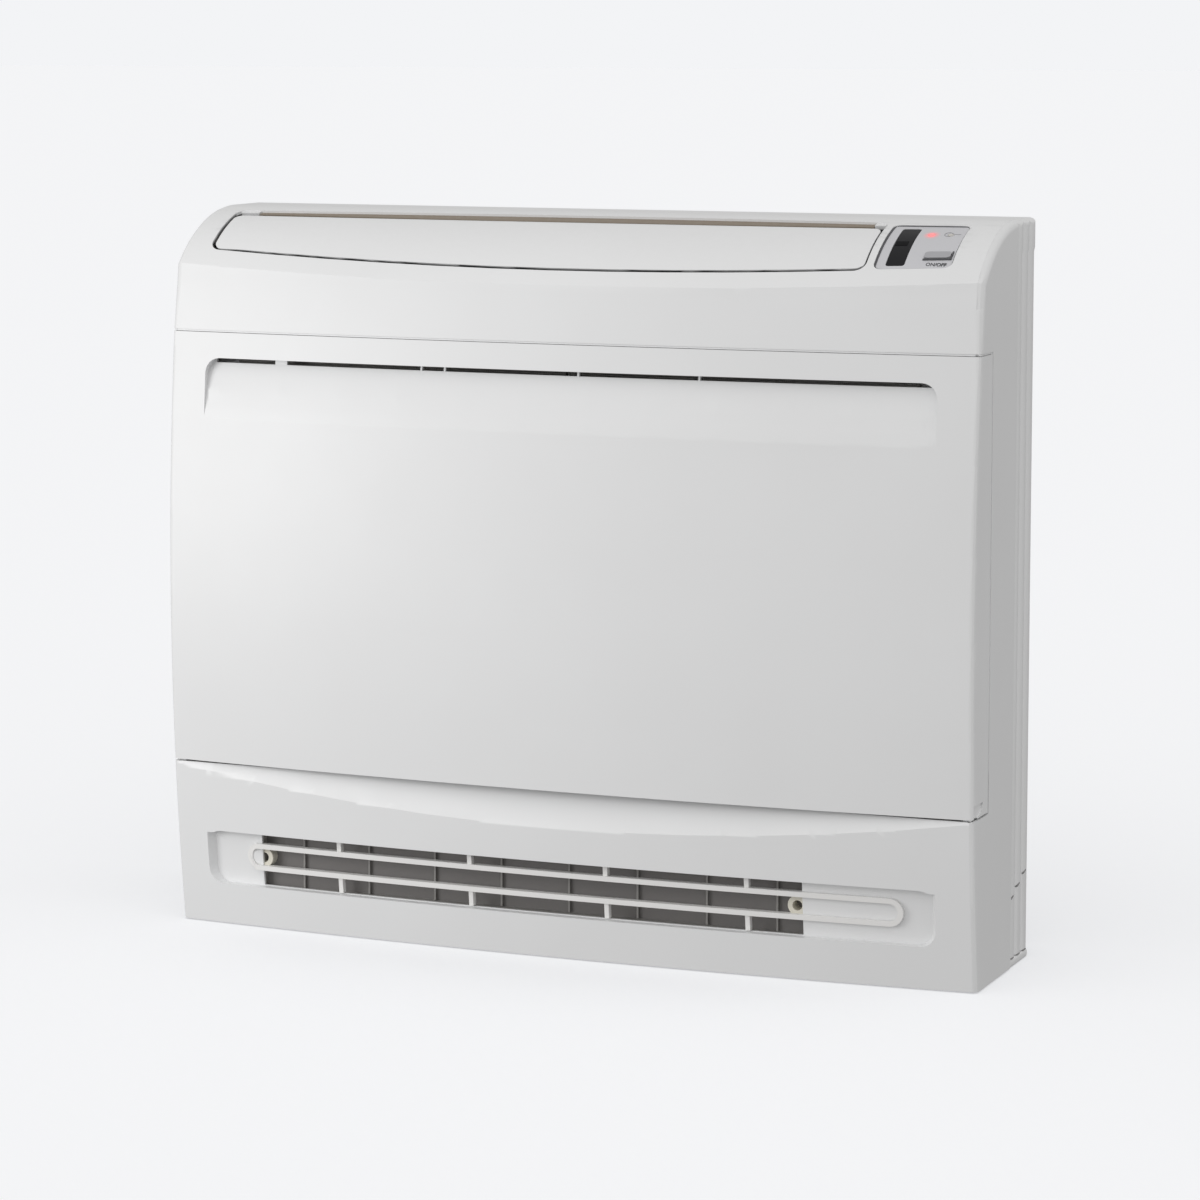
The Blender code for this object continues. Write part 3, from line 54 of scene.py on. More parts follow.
# Outer form of the cabinet, in metres
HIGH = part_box("side_moulding_right")[1]
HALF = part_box("front_panel")[1].x
HEIGHT = HIGH.z
COVER_REAR_Y = HIGH.y
FLAT_Y = COVER_REAR_Y - 0.045
BOW = 0.014
FRONT_END_Y = -0.091
FRONT_RADIUS = 2.034
FRONT_MID_Z = 0.280
CREASE_DROP = 0.044
CREASE_DIP = 0.010

CORNER = 0.006
TIGHT_CORNER = 0.004
TIGHT_TOP_Z = 0.535
OVERLAP = 0.0004
SPLIT_X = HALF - CORNER
PANEL_LOW_Z = 0.1405
PANEL_HIGH_Z = 0.4995
PANEL_REAR_Y = -0.0495
SEAM = 0.002
WALL = 0.0025
LIP_LOW_Z = PANEL_HIGH_Z + 0.0004
LIP_HIGH_Z = PANEL_HIGH_Z + SEAM + 0.0002
PANEL_WALL = 0.0028
VANE_THICKNESS = 0.003
VANE_TRIM = 0.006
VANE_END_TRIM = 0.0005
VANE_EDGE_SHARE = 0.035

GRILLE_OPEN_X = -0.2775
GRILLE_RAMP = 0.003
GRILLE_SINK = 0.0026
FOOT_HEIGHT = 0.015
SLIT_FROM_REAR = 0.0107
SLIT_PITCH = 0.017
SLIT_HIGH_Z = 0.0722
SLIT_FALL = 0.0073
SLIT_TILT = math.radians(15)

# Modelling tolerances
MERGE = 0.000005
CREASE_CUTS = [TIGHT_TOP_Z - MERGE, TIGHT_TOP_Z + 0.0005]
REACH = 0.0004
SPLIT_REACH = 0.0006
ARC_REACH = 0.0012
FLAT_TURN = math.radians(0.08)
SMOOTH_TURN = math.radians(32)

# Camera and soft box
CAMERA_PLACE = (1.2498, -3.0177, 0.7536)
CAMERA_TURN = (math.radians(90 - 6.501), 0, math.radians(22.473))
CAMERA_LENS = 120.33
CAMERA_SHIFT = -0.10
SOFT_BOX_PLACE = Vector((-1.0, -1.05, 0.46))
SOFT_BOX_AIM = Vector((0.05, -0.09, 0.30))
SOFT_BOX_SIZE = 0.7
SENSOR_WIDTH = 36


# Surfaces of the cabinet

def front_y(x, z):
    """The front face: a tall arc, pushed forward by the bow."""
    return FRONT_END_Y + (z - FRONT_MID_Z) ** 2 / (2 * FRONT_RADIUS) - BOW * (1 - (x / HALF) ** 2)


def slope_arc(x):
    """Angle and radius of the arc from the flat top down to the crease."""
    crease_z = HEIGHT - CREASE_DROP - CREASE_DIP * (1 - (x / HALF) ** 2)
    across = FLAT_Y - front_y(x, crease_z)
    angle = 2 * math.atan2(HEIGHT - crease_z, across)
    return angle, across / math.sin(angle)


def slope_seat(x, share, proud=0.0):
    """Seat on the slope: X to the right, Y up the slope and Z outwards."""
    angle, radius = slope_arc(x)
    turn = angle * share
    reach = radius + proud
    place = Vector((x, FLAT_Y - reach * math.sin(turn), HEIGHT - radius + reach * math.cos(turn)))
    up = Vector((0, math.cos(turn), math.sin(turn)))
    out = Vector((0, -math.sin(turn), math.cos(turn)))
    return seat(place, up, out)


def seat(place, up, out):
    """Matrix with its origin at a place, Y along up and Z along out."""
    across = up.cross(out).normalized()
    turned = Matrix((across, out.cross(across).normalized(), out)).transposed().to_4x4()
    return Matrix.Translation(place) @ turned


# Modelling helpers

def rest():
    """Object mode with nothing selected."""
    if bpy.context.object and bpy.context.object.mode != "OBJECT":
        bpy.ops.object.mode_set(mode="OBJECT")
    bpy.ops.object.select_all(action="DESELECT")


def pick(*pieces):
    """Selects these pieces alone, the first one active."""
    rest()
    for piece in pieces:
        piece.select_set(True)
    bpy.context.view_layer.objects.active = pieces[0]


def shape(piece):
    """Edit mode on one piece, with nothing selected."""
    pick(piece)
    bpy.ops.object.mode_set(mode="EDIT")
    bpy.ops.mesh.select_mode(type="FACE")
    bpy.ops.mesh.select_all(action="DESELECT")


def modify(piece, kind, **values):
    """Adds one modifier and applies it."""
    pick(piece)
    made = piece.modifiers.new(kind.lower(), kind)
    for name, value in values.items():
        setattr(made, name, value)
    bpy.ops.object.modifier_apply(modifier=made.name)
    return piece


def smooth(piece, turn=SMOOTH_TURN):
    """Smooth shading with sharp edges past an angle, led by the large faces."""
    pick(piece)
    bpy.ops.object.shade_smooth_by_angle(angle=turn)
    return modify(piece, "WEIGHTED_NORMAL", mode="FACE_AREA", weight=50, keep_sharp=True)


def soften(piece, width, rounds=2, turn=SMOOTH_TURN, spare=None):
    """Rounds the sharp edges, apart from those whose two ends pass the test."""
    work = bmesh.new()
    work.from_mesh(piece.data)
    weight = work.edges.layers.float.new("bevel_weight_edge")
    for edge in work.edges:
        sharp = len(edge.link_faces) == 2 and edge.calc_face_angle(0) > turn
        spared = spare and all(spare(point.co) for point in edge.verts)
        edge[weight] = float(sharp and not spared)
    work.to_mesh(piece.data)
    work.free()
    return modify(piece, "BEVEL", width=width, segments=rounds, limit_method="WEIGHT", affect="EDGES",
                  miter_outer="MITER_ARC", use_clamp_overlap=True, harden_normals=False)


def at_split(place):
    """Whether a place lies where the covers meet the side walls."""
    return SPLIT_X - SPLIT_REACH < abs(place.x) < HALF - TIGHT_CORNER + OVERLAP + 0.0002


def settle(piece, place=None):
    """Puts the piece in its place and leaves the place in its mesh."""
    if place is not None:
        piece.matrix_world = place @ piece.matrix_world
    pick(piece)
    bpy.ops.object.transform_apply(location=True, rotation=True, scale=True)
    return piece


def block(name, size, place=(0, 0, 0)):
    """Block of a size round a place."""
    rest()
    bpy.ops.mesh.primitive_cube_add(size=1, location=place)
    made = bpy.context.object
    made.name = name
    made.scale = size
    return settle(made)


def round_bar(name, radius, depth, place, sides):
    """Round bar along Z, its middle at a place."""
    rest()
    bpy.ops.mesh.primitive_cylinder_add(vertices=sides, radius=radius, depth=depth, location=place)
    made = bpy.context.object
    made.name = name
    return settle(made)


def carve(piece, cutter):
    """Cuts a piece with another, which is used up."""
    modify(piece, "BOOLEAN", object=cutter, operation="DIFFERENCE", solver="EXACT")
    bpy.data.objects.remove(cutter)


def merged(name, pieces):
    """One piece from several."""
    pick(*pieces)
    if len(pieces) > 1:
        bpy.ops.object.join()
    made = bpy.context.object
    made.name = name
    return made


def twin(piece, name, place):
    """Copy of a piece with its own mesh, at another place."""
    made = bpy.data.objects.new(name, piece.data.copy())
    bpy.context.scene.collection.objects.link(made)
    return settle(made, place)


def from_frame(name, *nodes):
    """One merged copy of the frame's nodes, ready to be refined."""
    copies = []
    for node in nodes:
        copied = bpy.data.objects.new(name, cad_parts[node].data.copy())
        bpy.context.scene.collection.objects.link(copied)
        copies.append(copied)
    made = merged(name, copies)
    pick(made)
    if made.data.has_custom_normals:
        bpy.ops.mesh.customdata_custom_splitnormals_clear()
    shape(made)
    bpy.ops.mesh.select_all(action="SELECT")
    bpy.ops.mesh.remove_doubles(threshold=MERGE)
    bpy.ops.mesh.dissolve_limited(angle_limit=FLAT_TURN)
    rest()
    return made


def slice_up(piece, axis, places):
    """Cuts a piece by flat planes across one axis, so that its faces can follow a curve."""
    shape(piece)
    across = Vector((axis == 0, axis == 1, axis == 2))
    for place in places:
        bpy.ops.mesh.select_all(action="SELECT")
        bpy.ops.mesh.bisect(plane_co=across * place, plane_no=across, use_fill=False, threshold=MERGE)
    rest()
    return piece


def steps(low, high, pitch):
    """Places between two ends, about a pitch apart."""
    count = max(1, round((high - low) / pitch))
    return [low + (high - low) * index / count for index in range(1, count)]


def follow_front(piece, skins, reach=0.0006, limit=1.0):
    """Moves the points near a skin of the front exactly on to it; a skin is its depth behind the front."""
    for point in piece.data.vertices:
        if abs(point.co.x) > SPLIT_X + reach or point.co.z > limit:
            continue
        behind = point.co.y - front_y(point.co.x, point.co.z)
        for skin in skins:
            if abs(behind - skin) < reach:
                point.co.y += skin - behind
    piece.data.update()
    return piece


def follow_slope(piece, skins, reach=0.0005):
    """Moves the points near a skin of the slope exactly on to it; a skin is its depth under the slope."""
    for point in piece.data.vertices:
        angle, radius = slope_arc(point.co.x)
        middle = Vector((point.co.x, FLAT_Y, HEIGHT - radius))
        arm = point.co - middle
        turn = math.atan2(-arm.y, arm.z)
        if not -0.02 < turn < angle + 0.02:
            continue
        for skin in skins:
            if abs(radius - skin - arm.length) < reach:
                point.co = middle + arm * ((radius - skin) / arm.length)
    piece.data.update()
    return piece


def corner_radius(z):
    """Radius of the upright corners: tight up to the panel's top, full from the crease on."""
    share = (z - PANEL_HIGH_Z) / (TIGHT_TOP_Z - PANEL_HIGH_Z)
    return TIGHT_CORNER + (CORNER - TIGHT_CORNER) * min(max(share, 0), 1)


def close_corner(piece, past=0.0):
    """Brings a cover up to the side walls, or past them, and tightens the upright corners."""
    for point in piece.data.vertices:
        across = abs(point.co.x) - SPLIT_X
        if across < -SPLIT_REACH:
            continue
        side = math.copysign(1, point.co.x)
        depth = point.co.y - front_y(SPLIT_X, point.co.z)
        arm = math.hypot(across, CORNER - depth)
        if point.co.z > TIGHT_TOP_Z:
            point.co.x = side * max(abs(point.co.x), SPLIT_X + past)
        elif abs(arm - CORNER) < ARC_REACH and depth < CORNER + 0.0002:
            share = min(max(across, 0) / CORNER, 1)
            radius = corner_radius(point.co.z)
            point.co.x = side * (HALF - radius + radius * share + past)
            back = radius * (1 - math.sqrt(1 - share * share))
            point.co.y = front_y(HALF - radius, point.co.z) + back
    piece.data.update()
    return piece


def slope_share(place):
    """Share of the slope's arc and level over it at a place."""
    angle, radius = slope_arc(place.x)
    arm = place - Vector((place.x, FLAT_Y, HEIGHT - radius))
    return math.atan2(-arm.y, arm.z) / angle, arm.length - radius


def shade_by(piece, test):
    """Stores on each point how deep in shade its plastic is, from 0 to 1."""
    layer = piece.data.attributes.new("shade", "FLOAT", "POINT")
    for point, value in zip(piece.data.vertices, layer.data):
        value.value = test(point.co)
    return piece


def slope_slab(name, sides, shares, levels, cells=(2, 8)):
    """Slab that follows the slope, between two X, two shares of the arc and two levels over it."""
    slab = block(name, (1, 1, 1))
    slice_up(slab, 0, steps(-0.5, 0.5, 1 / cells[0]))
    slice_up(slab, 1, steps(-0.5, 0.5, 1 / cells[1]))
    for point in slab.data.vertices:
        x = sides[0] + (sides[1] - sides[0]) * (point.co.x + 0.5)
        share = shares[1] + (shares[0] - shares[1]) * (point.co.y + 0.5)
        level = levels[0] + (levels[1] - levels[0]) * (point.co.z + 0.5)
        point.co = slope_seat(x, share, level).translation
    slab.data.update()
    return slab


def front_slab(name, sides, heights, depths, cells=(40, 2)):
    """Slab that follows the front face, between two X, two heights and two depths behind it."""
    slab = block(name, (1, 1, 1))
    slice_up(slab, 0, steps(-0.5, 0.5, 1 / cells[0]))
    slice_up(slab, 2, steps(-0.5, 0.5, 1 / cells[1]))
    for point in slab.data.vertices:
        x = sides[0] + (sides[1] - sides[0]) * (point.co.x + 0.5)
        z = heights[0] + (heights[1] - heights[0]) * (point.co.z + 0.5)
        point.co = (x, front_y(x, z) + depths[0] + (depths[1] - depths[0]) * (point.co.y + 0.5), z)
    slab.data.update()
    return slab


def span_block(name, low, high):
    """Block between two corners."""
    low, high = Vector(low), Vector(high)
    return block(name, high - low, (low + high) / 2)


def finish_piece(piece, body, slot, material, nodes=()):
    """Gives a piece its material and its body, and hides the nodes that it stands for. The slot is not used.
    """
    piece.data.materials.clear()
    piece.data.materials.append(material)
    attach(piece, body)
    if nodes:
        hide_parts(*nodes)


def dress(piece, width, rounds, *finish):
    """Rounds and smooths a piece, then finishes it."""
    soften(piece, width, rounds)
    smooth(piece)
    finish_piece(piece, *finish)


# Shader helpers

def put(tree, kind, place, settings=None, **inputs):
    """Adds a shader node with its settings and input values."""
    made = tree.nodes.new(kind)
    made.location = place
    for name, value in (settings or {}).items():
        setattr(made, name, value)
    for name, value in inputs.items():
        made.inputs[name.replace("_", " ")].default_value = value
    return made


def wire(tree, source, target):
    """Joins an output to an input."""
    tree.links.new(source, target)


def math_node(tree, place, operation, first, second, clamp=False):
    """Adds a math node on sockets or plain numbers and returns its output."""
    made = tree.nodes.new("ShaderNodeMath")
    made.location = place
    made.operation = operation
    made.use_clamp = clamp
    for index, value in enumerate((first, second)):
        if isinstance(value, (int, float)):
            made.inputs[index].default_value = value
        else:
            wire(tree, value, made.inputs[index])
    return made.outputs[0]


def blend_colours(tree, place, share, first, second):
    """Adds a colour mix on sockets and returns its output."""
    made = tree.nodes.new("ShaderNodeMix")
    made.location = place
    made.data_type = "RGBA"
    for index, value in ((0, share), (6, first), (7, second)):
        if isinstance(value, bpy.types.NodeSocket):
            wire(tree, value, made.inputs[index])
        else:
            made.inputs[index].default_value = value
    return made.outputs[2]


def ramp(tree, place, value, low, high):
    """Share of the way from low to high, held between 0 and 1."""
    made = tree.nodes.new("ShaderNodeMapRange")
    made.location = place
    made.inputs[1].default_value = low
    made.inputs[2].default_value = high
    wire(tree, value, made.inputs[0])
    return made.outputs[0]


def new_group(name, inputs, outputs):
    """Empty node group with named sockets; returns the tree with its two end nodes."""
    tree = bpy.data.node_groups.new(name, "ShaderNodeTree")
    for label, kind in inputs:
        tree.interface.new_socket(name=label, in_out="INPUT", socket_type="NodeSocket" + kind)
    for label, kind in outputs:
        tree.interface.new_socket(name=label, in_out="OUTPUT", socket_type="NodeSocket" + kind)
    start = put(tree, "NodeGroupInput", (-900, 0))
    end = put(tree, "NodeGroupOutput", (700, 0))
    return tree, start.outputs, end.inputs


def moulded_skin():
    """Group: slow drift of tone, fine grain and uneven gloss of a moulded plastic face."""
    if "moulded_skin" in bpy.data.node_groups:
        return bpy.data.node_groups["moulded_skin"]
    tree, given, result = new_group(
        "moulded_skin",
        (("Place", "Vector"), ("Tone", "Color"), ("Deep Tone", "Color"), ("Drift", "Float"),
         ("Drift Scale", "Float"), ("Grain Scale", "Float"), ("Gloss", "Float"), ("Gloss Spread", "Float")),
        (("Color", "Color"), ("Roughness", "Float"), ("Height", "Float")))
    slow = put(tree, "ShaderNodeTexNoise", (-600, 260), Detail=3.0, Roughness=0.55)
    wire(tree, given["Place"], slow.inputs["Vector"])
    wire(tree, given["Drift Scale"], slow.inputs["Scale"])
    share = math_node(tree, (-200, 260), "MULTIPLY", ramp(tree, (-400, 260), slow.outputs[0], 0.32, 0.68),
                      given["Drift"])
    wire(tree, blend_colours(tree, (100, 260), share, given["Tone"], given["Deep Tone"]), result["Color"])
    patchy = put(tree, "ShaderNodeTexNoise", (-600, -40), Detail=5.0, Roughness=0.6)
    wire(tree, given["Place"], patchy.inputs["Vector"])
    wire(tree, math_node(tree, (-760, -40), "MULTIPLY", given["Drift Scale"], 7.0), patchy.inputs["Scale"])
    uneven = math_node(tree, (-400, -40), "SUBTRACT", patchy.outputs[0], 0.5)
    spread = math_node(tree, (-200, -40), "MULTIPLY", uneven, given["Gloss Spread"])
    wire(tree, math_node(tree, (0, -40), "ADD", given["Gloss"], spread, True), result["Roughness"])
    grain = put(tree, "ShaderNodeTexNoise", (-600, -340), Detail=2.0, Roughness=0.5)
    wire(tree, given["Place"], grain.inputs["Vector"])
    wire(tree, given["Grain Scale"], grain.inputs["Scale"])
    wire(tree, grain.outputs[0], result["Height"])
    return tree


def settled_dust():
    """Group: a thin pale film on faces that look upwards."""
    if "settled_dust" in bpy.data.node_groups:
        return bpy.data.node_groups["settled_dust"]
    tree, given, result = new_group(
        "settled_dust",
        (("Place", "Vector"), ("Color", "Color"), ("Dust Tone", "Color"), ("Amount", "Float")),
        (("Color", "Color"), ("Mask", "Float")))
    facing = put(tree, "ShaderNodeNewGeometry", (-760, -200))
    parts = put(tree, "ShaderNodeSeparateXYZ", (-600, -200))
    wire(tree, facing.outputs["Normal"], parts.inputs[0])
    upward = ramp(tree, (-400, -200), parts.outputs[2], 0.55, 1.0)
    specks = put(tree, "ShaderNodeTexNoise", (-600, 120), Scale=160.0, Detail=6.0, Roughness=0.7)
    wire(tree, given["Place"], specks.inputs["Vector"])
    lumps = ramp(tree, (-400, 120), specks.outputs[0], 0.35, 0.75)
    mask = math_node(tree, (0, 0), "MULTIPLY", math_node(tree, (-200, 0), "MULTIPLY", upward, lumps),
                     given["Amount"], True)
    wire(tree, mask, result["Mask"])
    wire(tree, blend_colours(tree, (300, 120), mask, given["Color"], given["Dust Tone"]), result["Color"])
    return tree


def even_rows():
    """Group: parallel rounded rows across one direction."""
    if "even_rows" in bpy.data.node_groups:
        return bpy.data.node_groups["even_rows"]
    tree, given, result = new_group("even_rows", (("Across", "Float"), ("Pitch", "Float"), ("Fill", "Float")),
                                    (("Mask", "Float"), ("Height", "Float")))
    turn = math_node(tree, (-500, 0), "MULTIPLY", math_node(tree, (-700, 0), "DIVIDE", given["Across"],
                                                           given["Pitch"]), 2 * math.pi)
    wave = math_node(tree, (-100, 0), "ADD", math_node(tree, (-300, 0), "MULTIPLY",
                     math_node(tree, (-400, 100), "COSINE", turn, 0.0), 0.5), 0.5)
    wire(tree, wave, result["Height"])
    wire(tree, math_node(tree, (200, 100), "LESS_THAN", wave, given["Fill"]), result["Mask"])
    return tree


def colour(values):
    """Opaque colour of four values from a colour property."""
    return (values[0], values[1], values[2], 1.0)


def new_material(name):
    """Empty material with its shader and its place in object coordinates."""
    made = bpy.data.materials.new(name)
    made.use_nodes = True
    tree = made.node_tree
    shader = tree.nodes["Principled BSDF"]
    shader.location = (500, 0)
    tree.nodes["Material Output"].location = (800, 0)
    place = put(tree, "ShaderNodeTexCoord", (-900, 0)).outputs["Object"]
    return made, tree, shader, place


def plastic(name, tone, deep, gloss, spread=0.07, drift=0.5, grain=1400.0, relief=0.00002, dust=0.10,
            metallic=0.0):
    """Moulded plastic with drift, grain, uneven gloss, a little dust and painted shade from the points' shade
    attribute.
    """
    if name in bpy.data.materials:
        return bpy.data.materials[name]
    made, tree, shader, place = new_material(name)
    skin = put(tree, "ShaderNodeGroup", (-500, 0), {"node_tree": moulded_skin()}, Tone=colour(tone),
               Deep_Tone=colour(deep), Drift=drift, Drift_Scale=5.0, Grain_Scale=grain, Gloss=gloss,
               Gloss_Spread=spread)
    wire(tree, place, skin.inputs["Place"])
    film = put(tree, "ShaderNodeGroup", (-200, 200), {"node_tree": settled_dust()}, Amount=dust,
               Dust_Tone=(0.62, 0.61, 0.59, 1))
    wire(tree, place, film.inputs["Place"])
    # Painted shade: the points' shade attribute darkens the colour towards near black.
    shade = put(tree, "ShaderNodeAttribute", (-500, 400), {"attribute_name": "shade"})
    wire(tree, blend_colours(tree, (-300, 400), shade.outputs["Fac"], skin.outputs["Color"],
                             (0.03, 0.03, 0.032, 1)), film.inputs["Color"])
    wire(tree, film.outputs["Color"], shader.inputs["Base Color"])
    wire(tree, skin.outputs["Roughness"], shader.inputs["Roughness"])
    bump = put(tree, "ShaderNodeBump", (200, -300), Strength=0.6, Distance=relief)
    wire(tree, skin.outputs["Height"], bump.inputs["Height"])
    wire(tree, bump.outputs[0], shader.inputs["Normal"])
    shader.inputs["Metallic"].default_value = metallic
    return made


def add_rows(made, axes, pitch, fill, deep, relief):
    """Adds parallel rows across one or two axes to a finish, in colour and in relief."""
    tree = made.node_tree
    shader = tree.nodes["Principled BSDF"]
    place = put(tree, "ShaderNodeTexCoord", (-1200, -500)).outputs["Object"]
    parts = put(tree, "ShaderNodeSeparateXYZ", (-1000, -500))
    wire(tree, place, parts.inputs[0])
    found = []
    for axis in axes:
        rows = put(tree, "ShaderNodeGroup", (-800, -500 - 200 * axis), {"node_tree": even_rows()},
                   Pitch=pitch, Fill=fill)
        wire(tree, parts.outputs[axis], rows.inputs["Across"])
        found.append(rows)
    mask, height = found[0].outputs["Mask"], found[0].outputs["Height"]
    for rows in found[1:]:
        mask = math_node(tree, (-500, -500), "MINIMUM", mask, rows.outputs["Mask"])
        height = math_node(tree, (-500, -700), "MAXIMUM", height, rows.outputs["Height"])
    painted = shader.inputs["Base Color"].links[0].from_socket
    wire(tree, blend_colours(tree, (300, 300), mask, painted, colour(deep)), shader.inputs["Base Color"])
    grain = shader.inputs["Normal"].links[0].from_socket
    raised = put(tree, "ShaderNodeBump", (350, -500), Strength=0.8, Distance=relief)
    wire(tree, height, raised.inputs["Height"])
    wire(tree, grain, raised.inputs["Normal"])
    wire(tree, raised.outputs[0], shader.inputs["Normal"])
    return made


# Settings that a user would change

def paint(name, description, tone):
    """Colour setting."""
    return FloatVectorProperty(name=name, description=description, subtype="COLOR", size=3, min=0, max=1,
                               default=tone)


def length(name, description, usual, low, high):
    """Length setting, in metres."""
    return FloatProperty(name=name, description=description, unit="LENGTH", default=usual, min=low,
                         max=high)


class ConsoleShell(bpy.types.PropertyGroup):
    """Colours and edges of the white outer mouldings."""
    white: paint("White", "Colour of the outer mouldings", (0.80, 0.805, 0.81))
    warm_white: paint("Shaded white", "Deeper tone of the outer mouldings", (0.76, 0.762, 0.765))
    gloss: FloatProperty(name="Roughness", description="Roughness of the satin finish", subtype="FACTOR",
                         min=0, max=1, default=0.36)
    edge: length("Edge radius", "Rounding of the outer edges", 0.0008, 0.0001, 0.003)
    thin_edge: length("Thin edge radius", "Rounding of edges on thin walls", 0.0004, 0.0001, 0.001)
    seam_trim: length("Seam trim", "How far the panel's lower edge reaches into its seam",
                      0.0002, 0, 0.0008)
    foot_height: length("Foot height", "Height of the feet under the side mouldings",
                        0.0072, 0.003, 0.015)


class ConsoleOutlets(bpy.types.PropertyGroup):
    """Colours and sizes of the grille, the ducts and what is in them."""
    duct: paint("Duct colour", "Colour inside both air ducts", (0.36, 0.35, 0.335))
    blade: paint("Blade colour", "Colour of the guide blades", (0.40, 0.39, 0.375))
    damper: paint("Damper colour", "Colour of the closed damper", (0.20, 0.19, 0.185))
    # Partly painted light: the rails are a little lighter and warmer than the body.
    rail: paint("Rail colour", "Warm white of the grille", (0.845, 0.837, 0.825))
    strip: paint("Strip colour", "Foam strip over the vane", (0.27, 0.225, 0.175))
    cream: paint("Boss colour", "Colour of the screw bosses", (0.72, 0.69, 0.60))
    boss_radius: length("Boss radius", "Outer radius of the screw bosses", 0.0082, 0.005, 0.010)
    rail_edge: length("Rail radius", "Rounding of the grille's rails and ribs",
                      0.0013, 0.0002, 0.002)


class ConsoleDisplay(bpy.types.PropertyGroup):
    """Colours and sizes of the display pad."""
    silver: paint("Pad colour", "Silver finish of the display pad", (0.63, 0.63, 0.655))
    lit: paint("Lamp colour", "Colour of the lit lamp", (0.88, 0.34, 0.35))
    # Reach of the red lamp light painted on the pad round the lit lamp.
    halo: length("Halo", "Reach of the red light round the lit lamp", 0.0085, 0.001, 0.02)
    lamp_glow: FloatProperty(name="Lamp glow", description="How brightly the lit lamp glows", default=0.75,
                             min=0, max=10)
    letter_height: length("Letter height", "Height of the switch lettering", 0.0034, 0.001, 0.01)
    label_width: length("Label width", "Width of the switch lettering", 0.0165, 0.005, 0.02)


class ConsoleRear(bpy.types.PropertyGroup):
    """Sizes of what is seen from behind."""
    screw_radius: length("Screw head radius", "Radius of the plate's screw heads",
                         0.0036, 0.001, 0.01)
    screw_count: IntProperty(name="Screws a row", description="Screws along the top and bottom of the plate",
                             default=4, min=2, max=9)


class ConsoleStage(bpy.types.PropertyGroup):
    """Floor, lights and camera."""
    floor: paint("Floor colour", "Colour of the floor", (0.70, 0.705, 0.71))
    backdrop: paint("Backdrop colour", "Colour behind the cabinet", (0.896, 0.904, 0.921))
    floor_size: FloatProperty(name="Floor width", description="Width of the floor", unit="LENGTH",
                              default=120.0, min=10)
    above: FloatProperty(name="Light from above", description="Strength of the even light from above",
                         default=0.985, min=0)
    below: FloatProperty(name="Light from below", description="Strength of the even light from below",
                         default=0.34, min=0)
    behind: FloatProperty(name="Light from behind", description="Share of the light that comes from behind",
                          subtype="FACTOR", default=0.62, min=0, max=1)
    floor_light: FloatProperty(name="Light on the floor", description="Level of the light on the open floor",
                               default=0.77, min=0)
    side: FloatProperty(name="Side light", description="Power of the soft box at the left", unit="POWER",
                        default=6.2, min=0)


# Pieces

class CONSOLE_OT_upper_cover(bpy.types.Operator):
    """Flat top, slope and crease strip as one moulding"""
    bl_idname = "console.upper_cover"
    bl_label = "Upper cover"

    def execute(self, context):
        shell = context.scene.console_shell
        cover = from_frame("upper_cover", "top_cover", "slope_cover")
        slice_up(cover, 0, steps(-SPLIT_X, SPLIT_X, 0.012))
        slice_up(cover, 1, steps(-0.090, 0.024, 0.004))
        slice_up(cover, 2, steps(0.500, HEIGHT, 0.006) + CREASE_CUTS)
        follow_front(cover, (0, WALL), limit=0.545)
        follow_slope(cover, (0, WALL))
        close_corner(cover, OVERLAP)
        soften(cover, shell.edge, spare=at_split)
        smooth(cover)
        shade_by(cover, outlet_edge)
        finish_piece(cover, "cabinet", "white_plastic", shell_white(), ("top_cover", "slope_cover"))

        lip = merged("seam_lip", [
            front_slab("lip_front", (-0.3452, 0.3452), (LIP_LOW_Z, LIP_HIGH_Z),
                       (0.0008, 0.0050)),
            *[span_block("lip_side", (min(side * 0.3400, side * 0.3491), -0.0770, LIP_LOW_Z),
                         (max(side * 0.3400, side * 0.3491), PANEL_REAR_Y, LIP_HIGH_Z))
              for side in (-1, 1)]])
        smooth(lip)
        finish_piece(lip, "cabinet", "white_plastic", shell_white())
        return {"FINISHED"}


def outlet_edge(place):
    """Shade on the side and lower walls of the outlet's opening in the slope."""
    if not (-0.33 < place.x < 0.256 and place.y < 0.01 and place.z > 0.54):
        return 0.0
    share, level = slope_share(place)
    return float(level < -0.0010 and 0.34 < share < 0.92)


class CONSOLE_OT_front_panel(bpy.types.Operator):
    """Bowed front panel with its intake recess"""
    bl_idname = "console.front_panel"
    bl_label = "Front panel"

    def execute(self, context):
        shell = context.scene.console_shell
        panel = from_frame("panel_moulding", "front_panel")
        slice_up(panel, 0, steps(-SPLIT_X, SPLIT_X, 0.012))
        slice_up(panel, 2, steps(PANEL_LOW_Z, PANEL_HIGH_Z, 0.012))
        follow_front(panel, (0, PANEL_WALL))
        for point in panel.data.vertices:
            if point.co.z < PANEL_LOW_Z + REACH:
                point.co.z -= shell.seam_trim
        close_corner(panel)
        dress(panel, shell.edge, 2, "panel", "white_plastic", shell_white(), ("front_panel",))
        floors = merged("notch_floors", [
            span_block("notch_floor", (min(side * 0.3474, side * 0.3487), -0.0815, PANEL_LOW_Z + 0.0006),
                       (max(side * 0.3474, side * 0.3487), -0.0640, 0.1590)) for side in (-1, 1)])
        dress(floors, 0.0003, 2, "panel", "white_plastic", ridge_white())
        return {"FINISHED"}


